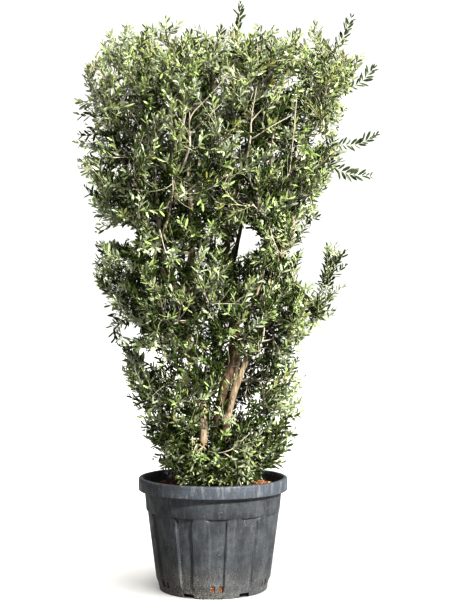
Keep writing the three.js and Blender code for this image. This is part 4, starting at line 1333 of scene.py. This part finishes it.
def pot():
    """The fluted pot. Its foot has a notch and a pair of slots in turn between the flutes."""
    piece = turned_shell("pot_shell", pot_profile(), POT_COLUMNS, math.radians(RIBS["turn"] - 90))
    swell(piece, rib_bulge)
    notch = (2 * NOTCH["depth"], NOTCH["width"], 2 * NOTCH["height"])
    slot = (SLOT["depth"], SLOT["width"], SLOT["height"])
    slot_middle = SLOT["foot"] + SLOT["height"] / 2
    cutters = []
    for hollow in range(RIBS["count"]):
        angle = math.radians(RIBS["turn"] + (hollow + 0.5) * (360 / RIBS["count"]) - 90)
        if hollow % 2 == 1:
            cutters.append(foot_cutter(angle, 0, notch, 0))
        else:
            for offset in (-SLOT["apart"] / 2, SLOT["apart"] / 2):
                cutters.append(foot_cutter(angle, offset, slot, slot_middle))
    deselect()
    for cutter in cutters:
        cutter.select_set(True)
    bpy.context.view_layer.objects.active = cutters[0]
    bpy.ops.object.join()
    apply_modifier(piece, "BOOLEAN", operation="DIFFERENCE", object=cutters[0], solver="EXACT")
    bpy.data.objects.remove(cutters[0])
    hand_over(piece, "pot", pot_plastic(), "pot")


def roughened(piece, size, depth, stretch=1.0, above=None):
    """Pushes a surface in and out by a cloud pattern, drawn out along Z, perhaps only above a height."""
    pattern = bpy.data.textures.new("relief", "CLOUDS")
    pattern.noise_scale = size * MM
    bpy.ops.object.empty_add(location=(3.1, 1.7, 0.9))
    holder = bpy.context.object
    holder.scale = (1, 1, stretch)
    bpy.context.view_layer.update()
    settings = {"texture": pattern, "texture_coords": "OBJECT", "texture_coords_object": holder}
    if above is not None:
        group = piece.vertex_groups.new(name="above")
        high = [vertex.index for vertex in piece.data.vertices if vertex.co.z > above * MM]
        group.add(high, 1, "REPLACE")
        settings["vertex_group"] = "above"
    deselect()
    apply_modifier(piece, "DISPLACE", strength=depth * MM, mid_level=0.5, **settings)
    bpy.data.objects.remove(holder)


def soil_height(radius):
    """The height of the soil's top, which dips towards the wall."""
    return SOIL_TOP - SOIL_EDGE_DIP * np.maximum(0, radius - SOIL_FLAT_RADIUS) / SOIL_DIP_RUN


def soil():
    """The potting mix, with a lumpy top."""
    spare = 1.4 * GAP
    edge = SOIL_TOP - SOIL_EDGE_DIP
    collar, head = COLLAR["foot_radius"] - WALL - spare, COLLAR["top_radius"] - WALL - spare
    brim = collar + (head - collar) * (edge - COLLAR["foot"]) / (RIM_FOOT - COLLAR["foot"])
    body = [(hollow_radius(FLOOR) - WALL - spare, FLOOR + WALL + GAP)]
    body += [(hollow_radius(314) - WALL - spare, 314), (collar, 324), (head, RIM_FOOT), (brim, edge)]
    top = [(radius, soil_height(radius) - 1) for radius in range(SOIL_CHIPPED_RADIUS, 2, -8)]
    piece = turned_shell("soil_bed", body + top, 96)
    roughened(piece, 22, 7, above=edge - 1)
    roughened(piece, 7, 3, above=edge - 5)
    hand_over(piece, "soil", soil_mix(), "soil", angle=60)


def bark_chips():
    """Chips and shreds of bark lying loose on the soil."""
    chance = np.random.default_rng(SEED + 1)
    count = CHIPS["count"]
    radius = SOIL_CHIPPED_RADIUS * np.sqrt(chance.uniform(CHIPS["bare_middle"], 1, count))
    around = chance.uniform(0, 2 * math.pi, count)
    height = soil_height(radius) + chance.uniform(-2, 4, count)
    foot = np.stack([radius * np.cos(around), radius * np.sin(around), height], axis=1)
    line = unit(np.stack([chance.normal(0, spread, count) for spread in (1, 1, 0.3)], axis=1))
    level = unit(np.cross(line, vec(0, 0, 1)) + chance.normal(0, 0.25, line.shape))
    level = unit(level - dots(level, line)[:, None] * line)
    ways = np.stack([line, level, np.cross(line, level)], axis=1)
    size = chance.uniform(CHIPS["shortest"], CHIPS["longest"], (count, 1)) * vec(1, 0.5, 0.22)
    size = size * chance.uniform(0.6, 1.2, (count, 3))
    signs = np.array([[x, y, z] for x in (-1, 1) for y in (-1, 1) for z in (-1, 1)], float)
    skew = signs * chance.uniform(0.55, 1, (count, 8, 3)) * size[:, None] / 2
    points = foot[:, None]
    for k in range(3):
        points = points + skew[..., k:k + 1] * ways[:, None, k]
    box = [(0, 1, 3), (0, 3, 2), (4, 6, 7), (4, 7, 5), (0, 4, 5), (0, 5, 1)]
    box += [(2, 3, 7), (2, 7, 6), (0, 2, 6), (0, 6, 4), (1, 5, 7), (1, 7, 3)]
    corners = np.array(box) + 8 * np.arange(count)[:, None, None]
    finishes = [
        finish("chip_orange", (0.24, 0.1, 0.035), 0.9),
        finish("chip_brown", (0.09, 0.045, 0.025), 0.9),
        finish("chip_tan", (0.38, 0.24, 0.13), 0.9),
    ]
    looks = np.repeat(chance.choice(3, count, p=[0.35, 0.45, 0.2]), len(box))
    piece = joined_piece("bark_chips", points, corners, looks, finishes)
    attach(piece, "root")


def root_crown():
    """The low woody stool, lobed and knobbly, that the stems stand on."""
    foot = SOIL_TOP + GAP
    wide, top, height = (ROOT_CROWN[key] for key in ("foot_radius", "top_radius", "height"))
    flank = [(wide, foot), (wide - 2, foot + 4), (wide - 7, foot + 10), (top + 6, foot + height * 0.4)]
    flank += [(top + 4, foot + height * 0.7), (top, foot + height - 4), (top - 4, foot + height)]
    crest = [(radius, foot + height) for radius in range(80, 3, -8)]
    piece = turned_shell("root_stool", flank + crest, 80)

    def lobe(angle, z, radius):
        return radius * ROOT_CROWN["lobe_share"] * math.cos(ROOT_CROWN["lobes"] * math.radians(angle))

    swell(piece, lobe)
    roughened(piece, 20, 6, above=foot + 2)
    roughened(piece, 5, 2, above=foot + 2)
    hand_over(piece, "bark", BARKS["old"], "root_crown", angle=60)


# A smoothed eight-sided log comes out this much thinner than its rings
LOG_SIDES = 8
ROUNDING = (2 + math.cos(2 * math.pi / LOG_SIDES)) / 3


def bent_along(piece, line):
    """Bends a straight piece, which stands on Z, along a line of places."""
    path = bpy.data.curves.new("path", "CURVE")
    path.dimensions = "3D"
    row = path.splines.new("POLY")
    row.points.add(len(line) - 1)
    row.points.foreach_set("co", np.hstack([line * MM, np.ones((len(line), 1))]).ravel())
    guide = into_scene(bpy.data.objects.new("path", path))
    apply_modifier(piece, "CURVE", object=guide, deform_axis="POS_Z")
    bpy.data.objects.remove(guide)


def limb_log(name, material):
    """A log with the limb's taper and furrowed bark, bent along its line. A stem's foot is buried."""
    line = LIMB_LINES[name]
    total = lengths_along(line)[-1]
    shares = np.linspace(0, 1, max(12, int(total / 30)))
    radii = limb_radius(name, shares)
    if name in STEMS:
        line = np.vstack([line[:1] - STEM_BURIED * unit(line[1:2] - line[:1]), line])
        heights = [0, *(STEM_BURIED + shares * total)]
        rings = [radii[0], *radii]
    else:
        radii = radii * (1 + 0.35 * np.exp(-shares * total / 25))
        heights, rings = shares * total, radii
    profile = [(radius / ROUNDING, height) for radius, height in zip(rings, heights)]
    piece = turned_shell("bark_" + name, profile, LOG_SIDES)
    apply_modifier(piece, "SUBSURF", levels=2, render_levels=2)
    roughened(piece, 9, 0.16 * radii[0] + 0.6, stretch=6)
    roughened(piece, 60, 0.3 * radii[0], stretch=2)
    bent_along(piece, line)
    hand_over(piece, "bark", material, name, angle=70)


BARKS = {
    "old": bark("bark_old", (0.26, 0.218, 0.152), (0.08, 0.06, 0.04), (0.2, 0.14, 0.084)),
    # The red bark is a reddish brown darkened as painted shade, for the middle and back stems, which stand
    # in shade behind the others.
    "red": bark("bark_red_shaded", (0.1, 0.064, 0.042), (0.028, 0.018, 0.012), (0.085, 0.042, 0.024)),
}
SHADED_RED_LIMBS = ("middle_stem", "back_stem")


def place_limbs():
    for name in LIMB_LINES:
        limb_log(name, BARKS["red" if name in SHADED_RED_LIMBS else "old"])


def white_floor():
    deselect()
    bpy.ops.mesh.primitive_plane_add(size=60, location=(0, 0, 0))
    floor = bpy.context.object
    floor.name = "floor"
    floor.data.materials.append(finish("floor_paint", (0.8, 0.8, 0.8), 0.9, 0.1))
    return floor


def glowing_world():
    """Light from all round, weaker from overhead."""
    world = bpy.data.worlds.new("studio")
    world.use_nodes = True
    tree = world.node_tree
    background = tree.nodes["Background"]
    background.inputs["Color"].default_value = (1, 1, 0.96, 1)
    height = tree.nodes.new("ShaderNodeSeparateXYZ")
    tree.links.new(tree.nodes.new("ShaderNodeTexCoord").outputs["Generated"], height.inputs[0])
    glow = tree.nodes.new("ShaderNodeMapRange")
    for socket, value in (("From Min", 0.235), ("From Max", 0.42), ("To Min", 0.8), ("To Max", 0.2)):
        glow.inputs[socket].default_value = value
    tree.links.new(height.outputs["Z"], glow.inputs["Value"])
    tree.links.new(glow.outputs["Result"], background.inputs["Strength"])
    bpy.context.scene.world = world


def sun(name, energy, spread, tilt, floor, floor_rule):
    """A sun with its spread and tilt in degrees, which leaves the floor out or lights nothing else."""
    light = bpy.data.lights.new(name, "SUN")
    light.energy = energy
    light.angle = math.radians(spread)
    light.color = (1, 0.985, 0.95)
    lamp = into_scene(bpy.data.objects.new(name, light))
    lamp.rotation_euler = (math.radians(tilt), 0, math.radians(SUN_TURN))
    lit = bpy.data.collections.new("lit_by_" + name)
    lit.objects.link(floor)
    lit.collection_objects[0].light_linking.link_state = floor_rule
    lamp.light_linking.receiver_collection = lit


def studio():
    """A pale floor, soft light from all round, a crisp sun on the plant and a soft one on the floor."""
    floor = white_floor()
    glowing_world()
    sun("sun", 12, 5, SUN_TILT, floor, "EXCLUDE")
    sun("soft_sun", 4.2, 80, 22, floor, "INCLUDE")
    camera = bpy.data.cameras.new("camera")
    camera.sensor_fit = "VERTICAL"
    camera.sensor_height = 24
    camera.lens = 52
    eye = into_scene(bpy.data.objects.new("camera", camera))
    eye.location = EYE * MM
    eye.rotation_euler = (math.radians(90), 0, 0)
    bpy.context.scene.camera = eye
    view = bpy.context.scene.view_settings
    view.view_transform = "Standard"
    view.look = "None"
    view.exposure = 0.52
    view.gamma = 0.78


studio()
pot()
soil()
bark_chips()
root_crown()
place_limbs()
crown()
